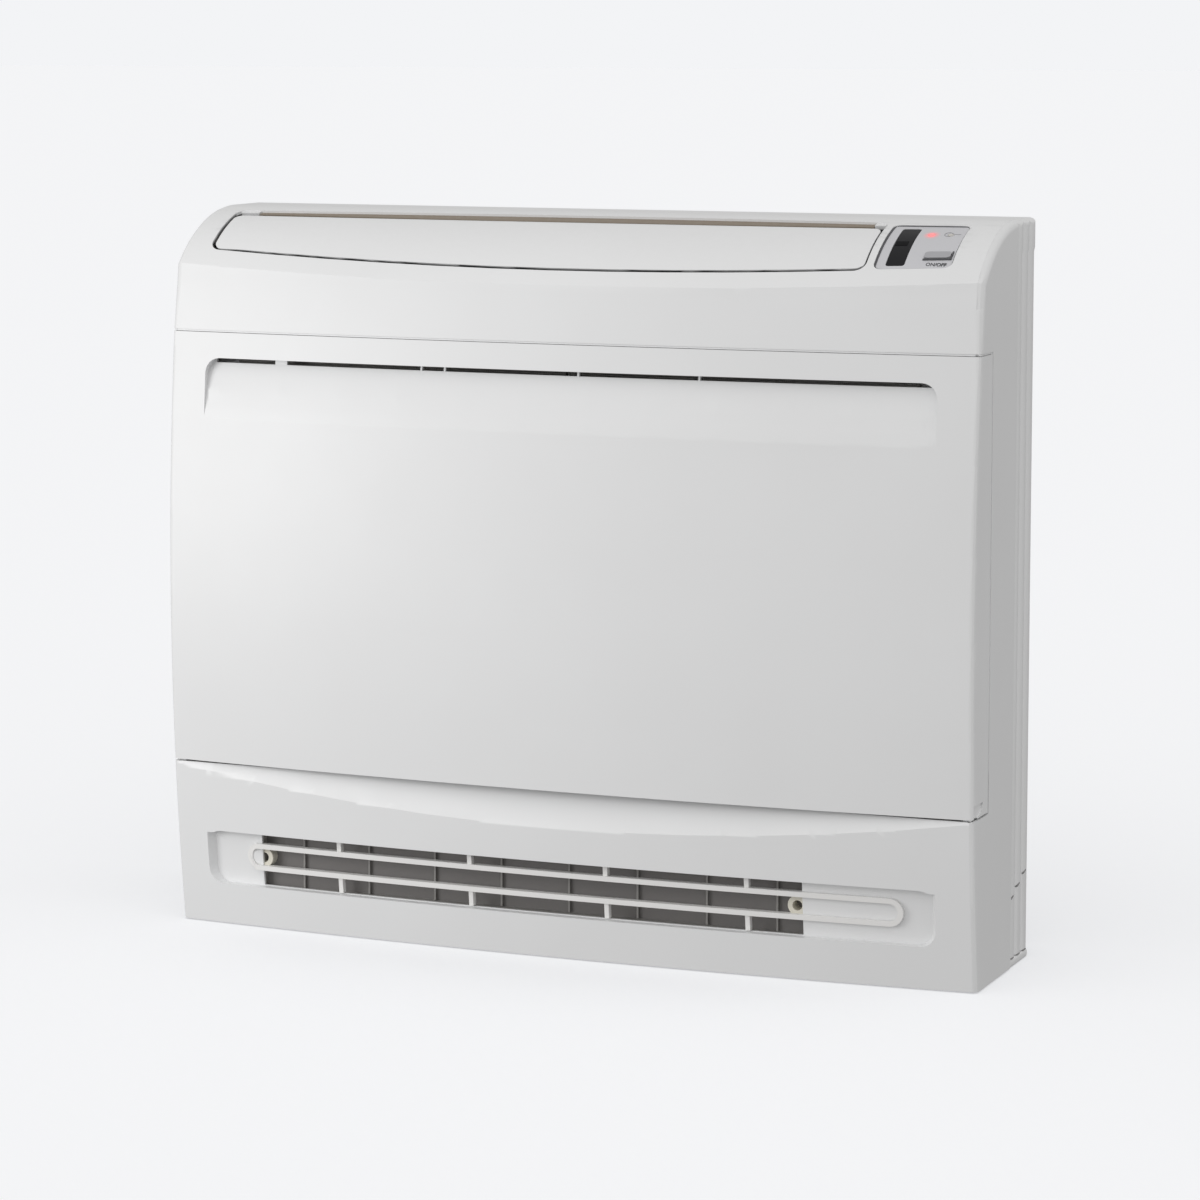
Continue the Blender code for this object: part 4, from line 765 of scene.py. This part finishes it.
class CONSOLE_OT_lower_cover(bpy.types.Operator):
    """Lower cover with the scoop and the grille recess"""
    bl_idname = "console.lower_cover"
    bl_label = "Lower cover"

    def execute(self, context):
        shell = context.scene.console_shell
        cover = from_frame("lower_moulding", "lower_cover")
        slice_up(cover, 0, steps(-SPLIT_X, SPLIT_X, 0.008))
        slice_up(cover, 2, steps(0.001, 0.1385, 0.006))
        follow_front(cover, (0, WALL))
        close_corner(cover, OVERLAP)
        soften(cover, shell.edge, spare=at_split)
        smooth(cover)
        finish_piece(cover, "cabinet", "white_plastic", shell_white(), ("lower_cover",))
        return {"FINISHED"}


class CONSOLE_OT_sides(bpy.types.Operator):
    """Side walls, ridged side mouldings and feet"""
    bl_idname = "console.sides"
    bl_label = "Sides"

    def execute(self, context):
        shell = context.scene.console_shell
        for side, sign in (("left", -1), ("right", 1)):
            wall = from_frame("wall_" + side, "side_wall_" + side)
            slice_up(wall, 2, steps(0.001, TIGHT_TOP_Z, 0.006) + CREASE_CUTS)
            close_corner(wall)
            soften(wall, shell.edge, spare=at_split)
            smooth(wall)
            finish_piece(wall, "cabinet", "white_plastic", shell_white(), ("side_wall_" + side,))
            finish_piece(return_lip(side, sign), "cabinet", "white_plastic", shell_white())
            ridges = from_frame("ridges_" + side, "side_moulding_" + side)
            for point in ridges.data.vertices:
                if point.co.z < FOOT_HEIGHT + 0.0005:
                    point.co.z = shell.foot_height + 0.0006
            dress(ridges, shell.thin_edge, 2, "cabinet", "ridge_plastic", ridge_white(),
                  ("side_moulding_" + side,))
            foot = from_frame("foot_block_" + side, "foot_" + side)
            for point in foot.data.vertices:
                point.co.z *= shell.foot_height / FOOT_HEIGHT
            dress(foot, 0.0022, 3, "cabinet", "ridge_plastic", ridge_white(), ("foot_" + side,))
            finish_piece(dark_dashes(side, sign), "cabinet", "duct_plastic", slot_shade())
        return {"FINISHED"}


def return_lip(side, sign):
    """Lip behind the seam at the panel's rear edge, and the wall behind the notch in its corner."""
    inner, outer = sorted((sign * 0.3405, sign * 0.3491))
    lip = span_block("lip_upright", (inner, PANEL_REAR_Y + 0.0004, 0.170),
                     (outer, PANEL_REAR_Y + SEAM + 0.0002, PANEL_HIGH_Z + SEAM))
    inner, outer = sorted((sign * 0.3400, sign * 0.3468))
    backing = span_block("notch_wall", (inner, -0.0830, 0.1386), (outer, -0.0590, 0.1560))
    made = merged("return_lip_" + side, [lip, backing])
    soften(made, 0.0004)
    return smooth(made)


def dark_dashes(side, sign):
    """Shade in the knock out slits and along the top of the foot."""
    marks = []
    for index in range(3):
        middle = (sign * 0.3488, COVER_REAR_Y - SLIT_FROM_REAR - index * SLIT_PITCH,
                  SLIT_HIGH_Z - index * SLIT_FALL)
        mark = block("slit_mark", (0.0016, 0.0064, 0.0012))
        marks.append(settle(mark, Matrix.Translation(middle) @ Matrix.Rotation(SLIT_TILT, 4, "X")))
    for index in range(3):
        middle = (sign * 0.3484, COVER_REAR_Y - 0.0085 - index * SLIT_PITCH,
                  bpy.context.scene.console_shell.foot_height + 0.0003)
        marks.append(block("foot_mark", (0.0022, 0.0075, 0.0012), middle))
    made = merged("dark_dashes_" + side, marks)
    soften(made, 0.0003)
    return smooth(made)


class CONSOLE_OT_outlet_grille(bpy.types.Operator):
    """Lower outlet grille with rounded rails and ribs"""
    bl_idname = "console.outlet_grille"
    bl_label = "Outlet grille"

    def execute(self, context):
        grille = from_frame("grille_bars", "outlet_grille")
        for point in grille.data.vertices:
            past = (GRILLE_OPEN_X - point.co.x) / GRILLE_RAMP
            if past > 0:
                point.co.y += GRILLE_SINK * min(past, 1)
        soften(grille, context.scene.console_outlets.rail_edge, 3)
        smooth(grille, math.radians(50))
        finish_piece(grille, "cabinet", "white_plastic", grille_lit_white(), ("outlet_grille",))
        return {"FINISHED"}


class CONSOLE_OT_lower_duct(bpy.types.Operator):
    """Lower duct, closed damper, guide blades and the two screw bosses"""
    bl_idname = "console.lower_duct"
    bl_label = "Lower duct"

    def execute(self, context):
        outlets = context.scene.console_outlets
        dress(from_frame("lower_passage", "lower_duct"), 0.0006, 2, "cabinet", "duct_plastic",
              duct_dark(), ("lower_duct",))
        low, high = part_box("lower_duct")
        damper = span_block("closed_damper", (low.x + 0.001, -0.0660, low.z + 0.001),
                            (high.x - 0.001, -0.0640, 0.0860))
        slice_up(damper, 0, steps(low.x, high.x, 0.02))
        dress(damper, 0.0004, 2, "cabinet", "duct_plastic", damper_grey())
        dress(from_frame("blade_row", "guide_blades"), 0.0003, 2, "cabinet", "duct_plastic",
              blade_grey(), ("guide_blades",))
        for side, shift in (("left", -0.008), ("right", 0.003)):
            low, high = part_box("screw_boss_" + side)
            middle = Vector(((low.x + high.x) / 2, 0, (low.z + high.z) / 2))
            growth = outlets.boss_radius / ((high.x - low.x) / 2)
            boss = from_frame("boss_" + side, "screw_boss_" + side)
            for point in boss.data.vertices:
                point.co.x = middle.x + shift + (point.co.x - middle.x) * growth
                point.co.z = middle.z - 0.001 + (point.co.z - middle.z) * growth
            dress(boss, 0.0006, 2, "cabinet", "cream_plastic", boss_cream(),
                  ("screw_boss_" + side,))
        return {"FINISHED"}


class CONSOLE_OT_upper_vane(bpy.types.Operator):
    """Curved vane over the upper outlet"""
    bl_idname = "console.upper_vane"
    bl_label = "Upper vane"

    def execute(self, context):
        vane = from_frame("vane_blade", "upper_vane")
        slice_up(vane, 0, steps(-0.320, 0.250, 0.010))
        slice_up(vane, 1, steps(-0.080, 0.0, 0.003))
        follow_slope(vane, (0.0001, VANE_THICKNESS))
        lowest = max(slope_share(point.co)[0] for point in vane.data.vertices)
        left_end = min(point.co.x for point in vane.data.vertices)
        for point in vane.data.vertices:
            share, level = slope_share(point.co)
            if share > lowest - VANE_EDGE_SHARE:
                point.co = slope_seat(point.co.x, share - VANE_TRIM, level).translation
            if point.co.x < left_end + REACH:
                point.co.x += VANE_END_TRIM
        vane.data.update()
        soften(vane, context.scene.console_shell.thin_edge)
        smooth(vane)
        # Painted shade on the vane's faces that lie below its outer skin.
        shade_by(vane, lambda place: float(slope_share(place)[1] < -0.0012))
        finish_piece(vane, "vane", "white_plastic", shell_white(), ("upper_vane",))
        return {"FINISHED"}


class CONSOLE_OT_upper_duct(bpy.types.Operator):
    """Upper duct behind the vane, and the foam strip with its two ends"""
    bl_idname = "console.upper_duct"
    bl_label = "Upper duct"

    def execute(self, context):
        dress(from_frame("upper_passage", "upper_duct"), 0.0005, 2, "cabinet", "cream_plastic",
              duct_dark(), ("upper_duct",))
        strip = slope_slab("foam_strip", (-0.304, 0.2400), (0.19, 0.298), (-0.0050, -0.0019), (40, 4))
        dress(strip, 0.0005, 2, "cabinet", "duct_plastic", foam_brown())
        ends = merged("strip_ends", [
            slope_slab("strip_end", sides, (0.19, 0.292), (-0.0040, -0.0006), (4, 4))
            for sides in ((-0.3215, -0.3045), (0.2405, 0.2500))])
        dress(ends, 0.0004, 2, "cabinet", "white_plastic", shell_white())
        return {"FINISHED"}


class CONSOLE_OT_display(bpy.types.Operator):
    """Display pad, receiver window, lamps, push button and board"""
    bl_idname = "console.display"
    bl_label = "Display"

    def execute(self, context):
        display = context.scene.console_display
        pad = from_frame("pad_face", "display_pad")
        flatten_button(pad, 0.0010)
        dress(pad, 0.0005, 2, "cabinet", "pad_plastic", pad_silver_and_lamp_light(), ("display_pad",))
        dress(from_frame("window_lens", "receiver_window"), 0.0003, 2, "cabinet", "window_plastic",
              window_black(), ("receiver_window",))
        for name, node, slot, made in (("lamp_lit", "power_lamp", "lamp_red", lamp_red()),
                                       ("lamp_unlit", "timer_lamp", "lamp_pale", lamp_pale())):
            lamp = from_frame(name, node)
            soften(lamp, 0.0004, 3)
            smooth(lamp, math.radians(50))
            finish_piece(lamp, "cabinet", slot, made, (node,))
        button = from_frame("button_cap", "on_off_button")
        flatten_button(button, 0.0)
        dress(button, 0.0005, 3, "button", "pad_plastic", button_grey(), ("on_off_button",))
        # Painted shade: dark grey strips along the pad's left and top edges, standing for the shade in the
        # sunk seam there.
        groove_shade = merged("pad_painted_groove_shade", [
            slope_slab("groove_shade_left", (0.2576, 0.2592), (0.287, 0.846), (-0.0040, -0.0005), (1, 12)),
            slope_slab("groove_shade_top", (0.2576, 0.3192), (0.283, 0.300), (-0.0040, -0.0005), (8, 2))])
        smooth(groove_shade)
        finish_piece(groove_shade, "cabinet", "window_plastic", groove_shade_and_print_grey())
        # Painted shade: dark strips along the push button's lower and right edges, standing for its sides in
        # shade.
        button_shade = merged("button_painted_shade", [
            slope_slab("button_shade_right", (0.3168, 0.3179), (0.676, 0.766), (-0.0020, 0.0002), (1, 4)),
            slope_slab("button_shade_low", (0.2950, 0.3179), (0.753, 0.766), (-0.0020, 0.0002), (6, 1))])
        dress(button_shade, 0.0003, 2, "cabinet", "window_plastic", groove_shade_and_print_grey())
        eye = slope_slab("receiver_eye", (0.2676, 0.2776), (0.540, 0.598), (-0.0016, -0.0008), (2, 4))
        dress(eye, 0.0002, 2, "cabinet", "window_plastic", eye_black())
        ring = lamp_outline()
        finish_piece(ring, "cabinet", "window_plastic", print_grey())
        finish_piece(switch_label(display), "cabinet", "window_plastic", groove_shade_and_print_grey())
        board = from_frame("board_sheet", "display_board")
        smooth(board)
        finish_piece(board, "cabinet", "board_resin", board_green(), ("display_board",))
        return {"FINISHED"}


def flatten_button(piece, past):
    """Brings the push button, or the hole for it, to its low oblong form."""
    for point in piece.data.vertices:
        share, level = slope_share(point.co)
        if 0.2940 - past < point.co.x < 0.3170 + past and 0.640 < share < 0.775:
            lower = 0.684 + (share - 0.655) * 0.60
            point.co = slope_seat(point.co.x, lower, level).translation
    piece.data.update()
    return piece


def lamp_outline():
    """Printed oval round the unlit lamp with a short bar beside it."""
    rest()
    bpy.ops.mesh.primitive_torus_add(major_radius=0.0034, minor_radius=0.00028, major_segments=32,
                                     minor_segments=8)
    oval = settle(bpy.context.object)
    bar = block("bar", (0.0050, 0.0005, 0.0003), (0.0072, 0.0004, 0))
    made = merged("lamp_outline", [oval, bar])
    made.scale = (1.0, 0.9, 0.6)
    settle(made, slope_seat(0.3062, 0.44, -0.0008))
    return smooth(made)


def switch_label(display):
    """The words on the switch, as thin raised print under it."""
    rest()
    bpy.ops.object.text_add()
    made = bpy.context.object
    made.data.body = "ON/OFF"
    made.data.size = display.letter_height / 0.7
    made.data.extrude = 0.00012
    made.data.offset = 0.0001
    made.data.align_x = "CENTER"
    made.data.align_y = "CENTER"
    bpy.ops.object.convert(target="MESH")
    made = bpy.context.object
    made.name = "switch_label"
    widen = display.label_width / made.dimensions.x
    made.scale = (widen, 1, 1)
    settle(made)
    shape(made)
    bpy.ops.mesh.select_all(action="SELECT")
    bpy.ops.mesh.remove_doubles(threshold=MERGE)
    rest()
    return settle(made, slope_seat(0.3070, 0.812, -0.0008))


class CONSOLE_OT_behind_panel(bpy.types.Operator):
    """Inner frame, filters, coil, fan casing and the panel's hinge parts"""
    bl_idname = "console.behind_panel"
    bl_label = "Behind the panel"

    def execute(self, context):
        dress(from_frame("frame_face", "inner_frame"), 0.0008, 2, "cabinet", "white_plastic",
              shell_white(), ("inner_frame",))
        for side in ("left", "right"):
            dress(from_frame("screen_" + side, "filter_" + side), 0.0004, 2, "cabinet",
                  "filter_screen", filter_net(), ("filter_" + side,))
            socket = from_frame("socket_" + side, "panel_socket_" + side)
            smooth(socket)
            finish_piece(socket, "cabinet", "cream_plastic", boss_cream(), ("panel_socket_" + side,))
            lug = from_frame("lug_" + side, "panel_lug_" + side)
            smooth(lug)
            finish_piece(lug, "panel", "cream_plastic", boss_cream(), ("panel_lug_" + side,))
        coil = from_frame("coil_block", "heat_exchanger")
        smooth(coil)
        finish_piece(coil, "cabinet", "coil_fins", coil_fins(), ("heat_exchanger",))
        dress(from_frame("casing_block", "fan_casing"), 0.004, 3, "cabinet", "duct_plastic",
              duct_dark(), ("fan_casing",))
        return {"FINISHED"}


class CONSOLE_OT_rear(bpy.types.Operator):
    """Rear plate, rear rim, base pan and the rear screws"""
    bl_idname = "console.rear"
    bl_label = "Rear"

    def execute(self, context):
        dress(from_frame("wall_plate", "rear_plate"), 0.0006, 2, "cabinet", "sheet_steel",
              sheet_steel(), ("rear_plate",))
        dress(from_frame("plate_rim", "rear_rim"), 0.0008, 2, "cabinet", "sheet_steel",
              sheet_steel(), ("rear_rim",))
        dress(from_frame("base_tray", "base_pan"), 0.0006, 2, "cabinet", "sheet_steel",
              sheet_steel(), ("base_pan",))
        rear = context.scene.console_rear
        master = screw_head(rear.screw_radius)
        low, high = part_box("rear_plate")
        places = []
        for index in range(rear.screw_count):
            x = low.x + 0.040 + (high.x - low.x - 0.080) * index / (rear.screw_count - 1)
            places += [seat(Vector((x, high.y, z)), Vector((0, 0, 1)), Vector((0, 1, 0)))
                       for z in (low.z + 0.014, high.z - 0.014)]
        for side in (-1, 1):
            places += [seat(Vector((side * high.x, high.y - 0.014, z)), Vector((0, 0, 1)),
                            Vector((side, 0, 0))) for z in (0.070, 0.300, 0.530)]
        screws = merged("rear_screws", [twin(master, "rear_screw", place) for place in places])
        bpy.data.objects.remove(master)
        smooth(screws)
        finish_piece(screws, "cabinet", "sheet_steel", screw_steel())
        return {"FINISHED"}


def screw_head(radius):
    """Low domed screw head with a cross recess, its seat at the origin and facing up."""
    head = round_bar("screw_master", radius, 0.0014, (0, 0, 0.0004), 24)
    soften(head, 0.0006, 3)
    for turn in (0, math.pi / 2):
        slot = block("cross", (radius * 1.15, radius * 0.22, 0.0014), (0, 0, 0.0012))
        settle(slot, Matrix.Rotation(turn + math.pi / 4, 4, "Z"))
        carve(head, slot)
    return head


class CONSOLE_OT_stage(bpy.types.Operator):
    """Plain pale floor, soft studio light and the camera"""
    bl_idname = "console.stage"
    bl_label = "Stage"

    def execute(self, context):
        stage = context.scene.console_stage
        rest()
        bpy.ops.mesh.primitive_plane_add(size=stage.floor_size, location=(0, 0, 0))
        floor = context.object
        floor.name = "floor"
        floor.data.materials.append(floor_pale())
        floor.visible_diffuse = False
        floor.visible_glossy = False
        studio_world(context, stage)

        rest()
        bpy.ops.object.light_add(type="AREA", location=SOFT_BOX_PLACE)
        soft = context.object
        soft.name = "side_light"
        soft.data.energy = stage.side
        soft.data.size = SOFT_BOX_SIZE
        soft.rotation_euler = (SOFT_BOX_AIM - SOFT_BOX_PLACE).to_track_quat("-Z", "Y").to_euler()
        unlit = bpy.data.collections.new("unlit_stage")
        unlit.objects.link(floor)
        soft.light_linking.receiver_collection = unlit
        unlit.collection_objects[0].light_linking.link_state = "EXCLUDE"

        rest()
        bpy.ops.object.camera_add(location=CAMERA_PLACE, rotation=CAMERA_TURN)
        camera = context.object
        camera.name = "camera"
        camera.data.lens = CAMERA_LENS
        camera.data.sensor_width = SENSOR_WIDTH
        camera.data.shift_y = CAMERA_SHIFT
        context.scene.camera = camera
        context.scene.view_settings.view_transform = "Standard"
        return {"FINISHED"}


def studio_world(context, stage):
    """Soft studio light, strongest from the front, before a pale backdrop."""
    world = bpy.data.worlds.new("studio")
    context.scene.world = world
    world.use_nodes = True
    tree = world.node_tree
    light = tree.nodes["Background"]
    light.inputs["Color"].default_value = (1.0, 0.995, 0.99, 1)
    direction = put(tree, "ShaderNodeTexCoord", (-900, 0))
    height = put(tree, "ShaderNodeSeparateXYZ", (-700, 0))
    wire(tree, direction.outputs["Generated"], height.inputs[0])
    level = put(tree, "ShaderNodeMapRange", (-500, 0), {"interpolation_type": "SMOOTHSTEP"}, From_Min=-0.5,
                From_Max=0.5, To_Min=stage.below, To_Max=stage.above)
    wire(tree, height.outputs[2], level.inputs[0])
    behind = put(tree, "ShaderNodeVectorMath", (-700, -200), {"operation": "DOT_PRODUCT"})
    wire(tree, direction.outputs["Generated"], behind.inputs[0])
    behind.inputs[1].default_value = Vector((-0.45, 1.0, 0.25)).normalized()
    dimmed = put(tree, "ShaderNodeMapRange", (-500, -200), {"interpolation_type": "SMOOTHSTEP"},
                 From_Min=-0.25, From_Max=0.55, To_Min=1.0, To_Max=stage.behind)
    wire(tree, behind.outputs["Value"], dimmed.inputs[0])
    wire(tree, math_node(tree, (-200, 0), "MULTIPLY", level.outputs[0], dimmed.outputs[0]),
         light.inputs["Strength"])
    backdrop = put(tree, "ShaderNodeBackground", (0, -200), Strength=1.0, Color=colour(stage.backdrop))
    path = put(tree, "ShaderNodeLightPath", (-200, 300))
    chosen = put(tree, "ShaderNodeMixShader", (200, 0))
    wire(tree, path.outputs["Is Camera Ray"], chosen.inputs[0])
    wire(tree, light.outputs[0], chosen.inputs[1])
    wire(tree, backdrop.outputs[0], chosen.inputs[2])
    wire(tree, chosen.outputs[0], tree.nodes["World Output"].inputs[0])


# Finishes

def shell_white():
    """Satin white of the outer mouldings."""
    shell = bpy.context.scene.console_shell
    return plastic("shell_white", shell.white, shell.warm_white, shell.gloss)


def ridge_white():
    """Satin white of the side mouldings, the feet and the notch floors."""
    shell = bpy.context.scene.console_shell
    return plastic("ridge_white", shell.white, shell.warm_white, shell.gloss + 0.06)


def duct_dark():
    """Dark warm grey inside the ducts and of the fan casing."""
    tone = bpy.context.scene.console_outlets.duct
    return plastic("duct_dark", tone, [value * 0.8 for value in tone], 0.6)


def blade_grey():
    """Warm grey of the guide blades."""
    tone = bpy.context.scene.console_outlets.blade
    return plastic("blade_grey", tone, [value * 0.85 for value in tone], 0.5)


def damper_grey():
    """Grey brown of the closed damper behind the grille."""
    tone = bpy.context.scene.console_outlets.damper
    return plastic("damper_grey", tone, [value * 0.92 for value in tone], 0.5)


def boss_cream():
    """Cream of the screw bosses and the panel's hinge parts."""
    tone = bpy.context.scene.console_outlets.cream
    return plastic("boss_cream", tone, [value * 0.9 for value in tone], 0.45)


def pad_silver_and_lamp_light():
    """Silver paint of the display pad, with painted red lamp light round the lit lamp: a red tint and a red
    glow.
    """
    display = bpy.context.scene.console_display
    tone = display.silver
    if "pad_silver_and_lamp_light" in bpy.data.materials:
        return bpy.data.materials["pad_silver_and_lamp_light"]
    made = plastic("pad_silver_and_lamp_light", tone, [value * 0.94 for value in tone], 0.42, metallic=0.2)
    tree = made.node_tree
    shader = tree.nodes["Principled BSDF"]
    painted = shader.inputs["Base Color"].links[0].from_socket
    # Painted light: red lamp light painted on the pad near the lit lamp, as a red tint in the colour and a
    # red glow, both fading out over the halo's reach.
    place = put(tree, "ShaderNodeTexCoord", (-900, 500)).outputs["Object"]
    reach = put(tree, "ShaderNodeVectorMath", (-700, 500), {"operation": "DISTANCE"})
    wire(tree, place, reach.inputs[0])
    reach.inputs[1].default_value = slope_seat(0.2926, 0.448).translation
    near = put(tree, "ShaderNodeMapRange", (-500, 500), {"interpolation_type": "SMOOTHERSTEP"},
               From_Min=0.0, From_Max=display.halo, To_Min=1.0, To_Max=0.0)
    wire(tree, reach.outputs["Value"], near.inputs[0])
    painted_lamp_light = blend_colours(tree, (300, 400), near.outputs[0], painted, (0.80, 0.36, 0.37, 1))
    wire(tree, painted_lamp_light, shader.inputs["Base Color"])
    glow = blend_colours(tree, (300, 600), near.outputs[0], (0, 0, 0, 1), (0.34, 0.03, 0.03, 1))
    wire(tree, glow, shader.inputs["Emission Color"])
    shader.inputs["Emission Strength"].default_value = 1.0
    return made


def button_grey():
    """Darker silver of the push button."""
    return plastic("button_grey", (0.43, 0.43, 0.45), (0.38, 0.38, 0.40), 0.35, metallic=0.2)


def window_black():
    """Dark tinted plastic of the receiver window."""
    made = plastic("window_black", (0.018, 0.018, 0.020), (0.014, 0.014, 0.016), 0.3, dust=0.0)
    made.node_tree.nodes["Principled BSDF"].inputs["Specular IOR Level"].default_value = 0.1
    return made


def eye_black():
    """Deeper black over the receiver behind the window."""
    made = plastic("eye_black", (0.007, 0.007, 0.008), (0.004, 0.004, 0.005), 0.2, dust=0.0)
    made.node_tree.nodes["Principled BSDF"].inputs["Specular IOR Level"].default_value = 0.05
    return made


def groove_shade_and_print_grey():
    """Dark grey: painted shade along the pad's left and top edges and round the push button, and the real
    print of the lettering.
    """
    return plastic("groove_shade_and_print_grey", (0.085, 0.085, 0.092), (0.06, 0.06, 0.066), 0.55, dust=0.0)


def print_grey():
    """Pale grey print round the unlit lamp."""
    return plastic("print_grey", (0.30, 0.30, 0.31), (0.26, 0.26, 0.27), 0.5, dust=0.0)


def slot_shade():
    """Shade in the slits of the side mouldings."""
    return plastic("slot_shade", (0.27, 0.265, 0.265), (0.22, 0.215, 0.215), 0.7, dust=0.0)


def foam_brown():
    """Brown foam strip over the vane."""
    tone = bpy.context.scene.console_outlets.strip
    return plastic("foam_brown", tone, [value * 0.8 for value in tone], 0.85, grain=2600.0, relief=0.00012)


def grille_lit_white():
    """Warm white of the outlet grille, a little lighter than the body, partly as painted light on its rails.
    """
    tone = bpy.context.scene.console_outlets.rail
    return plastic("grille_lit_white", tone, [value * 0.95 for value in tone], 0.34)


def lamp_red():
    """Glowing red of the lit lamp."""
    display = bpy.context.scene.console_display
    made = plastic("lamp_red", display.lit, [value * 0.7 for value in display.lit], 0.25, dust=0.0)
    shader = made.node_tree.nodes["Principled BSDF"]
    shader.inputs["Emission Color"].default_value = colour(display.lit)
    shader.inputs["Emission Strength"].default_value = display.lamp_glow
    return made


def lamp_pale():
    """Pale lens of the unlit lamp."""
    return plastic("lamp_pale", (0.62, 0.62, 0.60), (0.55, 0.55, 0.53), 0.25, dust=0.02)


def board_green():
    """Green of the display board."""
    return plastic("board_green", (0.03, 0.16, 0.07), (0.02, 0.12, 0.05), 0.4)


def filter_net():
    """Fine grey net of the filters."""
    if "filter_net" in bpy.data.materials:
        return bpy.data.materials["filter_net"]
    made = plastic("filter_net", (0.30, 0.29, 0.275), (0.24, 0.23, 0.22), 0.6)
    return add_rows(made, (0, 2), 0.0016, 0.62, (0.055, 0.050, 0.046), 0.0003)


def coil_fins():
    """Aluminium fins of the coil, with dark rows as painted shade in the gaps between the fins."""
    made = plastic("fin_metal_and_gap_shade", (0.66, 0.67, 0.68), (0.55, 0.56, 0.57), 0.4, metallic=0.8)
    return add_rows(made, (0,), 0.0018, 0.5, (0.10, 0.10, 0.11), 0.0005)


def sheet_steel():
    """Zinc coated sheet with its crystal pattern."""
    if "zinc_sheet" in bpy.data.materials:
        return bpy.data.materials["zinc_sheet"]
    made = plastic("zinc_sheet", (0.80, 0.81, 0.82), (0.72, 0.73, 0.74), 0.46, metallic=0.45, dust=0.04)
    tree = made.node_tree
    shader = tree.nodes["Principled BSDF"]
    place = put(tree, "ShaderNodeTexCoord", (-1200, 500)).outputs["Object"]
    bent = put(tree, "ShaderNodeTexNoise", (-1000, 700), Scale=60.0, Detail=3.0)
    wire(tree, place, bent.inputs["Vector"])
    moved = put(tree, "ShaderNodeVectorMath", (-800, 600), {"operation": "MULTIPLY_ADD"})
    wire(tree, bent.outputs["Color"], moved.inputs[0])
    moved.inputs[1].default_value = (0.006, 0.006, 0.006)
    wire(tree, place, moved.inputs[2])
    crystals = put(tree, "ShaderNodeTexVoronoi", (-600, 600), Scale=85.0)
    wire(tree, moved.outputs[0], crystals.inputs["Vector"])
    level = put(tree, "ShaderNodeSeparateXYZ", (-400, 600))
    wire(tree, crystals.outputs["Color"], level.inputs[0])
    share = math_node(tree, (-200, 600), "MULTIPLY", level.outputs[0], 0.45)
    painted = shader.inputs["Base Color"].links[0].from_socket
    wire(tree, blend_colours(tree, (300, 500), share, painted, (0.60, 0.62, 0.64, 1)),
         shader.inputs["Base Color"])
    rough = shader.inputs["Roughness"].links[0].from_socket
    wire(tree, math_node(tree, (300, 100), "ADD", rough,
                         math_node(tree, (100, 100), "MULTIPLY", level.outputs[1], 0.10), True),
         shader.inputs["Roughness"])
    return made


def screw_steel():
    """Bright plated steel of the screws."""
    return plastic("screw_steel", (0.72, 0.72, 0.71), (0.60, 0.60, 0.59), 0.3, metallic=0.95, dust=0.0)


def floor_pale():
    """Plain pale floor, as bright as the backdrop where nothing shades it."""
    stage = bpy.context.scene.console_stage
    made = plastic("floor_pale", stage.floor, stage.floor, 0.9, spread=0.02, drift=0.0, dust=0.0)
    shader = made.node_tree.nodes["Principled BSDF"]
    glow = [wall - stage.floor_light * tone for wall, tone in zip(stage.backdrop, stage.floor)]
    shader.inputs["Emission Color"].default_value = colour(glow)
    shader.inputs["Emission Strength"].default_value = 1.0
    shader.inputs["Specular IOR Level"].default_value = 0.0
    return made


class CONSOLE_PT_pieces(bpy.types.Panel):
    """Lists the pieces and their settings in the sidebar"""
    bl_idname = "CONSOLE_PT_pieces"
    bl_label = "Air conditioner"
    bl_space_type = "VIEW_3D"
    bl_region_type = "UI"
    bl_category = "Air conditioner"

    def draw(self, context):
        for operator in OPERATORS:
            self.layout.operator(operator.bl_idname)
        for name, group in SETTINGS:
            box = self.layout.box()
            box.label(text=group.__doc__)
            for value in group.__annotations__:
                box.prop(getattr(context.scene, name), value)


OPERATORS = (
    CONSOLE_OT_upper_cover, CONSOLE_OT_front_panel, CONSOLE_OT_lower_cover, CONSOLE_OT_sides,
    CONSOLE_OT_outlet_grille, CONSOLE_OT_lower_duct, CONSOLE_OT_upper_vane, CONSOLE_OT_upper_duct,
    CONSOLE_OT_display, CONSOLE_OT_behind_panel, CONSOLE_OT_rear, CONSOLE_OT_stage,
)
SETTINGS = (
    ("console_shell", ConsoleShell), ("console_outlets", ConsoleOutlets), ("console_display", ConsoleDisplay),
    ("console_rear", ConsoleRear), ("console_stage", ConsoleStage),
)


def register():
    """Registers the settings, the operators and the panel."""
    for name, group in SETTINGS:
        bpy.utils.register_class(group)
        setattr(bpy.types.Scene, name, PointerProperty(type=group))
    for operator in OPERATORS:
        bpy.utils.register_class(operator)
    bpy.utils.register_class(CONSOLE_PT_pieces)


def unregister():
    """Takes everything away again."""
    bpy.utils.unregister_class(CONSOLE_PT_pieces)
    for operator in reversed(OPERATORS):
        bpy.utils.unregister_class(operator)
    for name, group in reversed(SETTINGS):
        delattr(bpy.types.Scene, name)
        bpy.utils.unregister_class(group)


def main():
    """Makes every piece and the stage."""
    register()
    for operator in OPERATORS:
        folder, call = operator.bl_idname.split(".")
        getattr(getattr(bpy.ops, folder), call)()
    rest()
    bpy.context.view_layer.update()


if __name__ == "__main__":
    main()
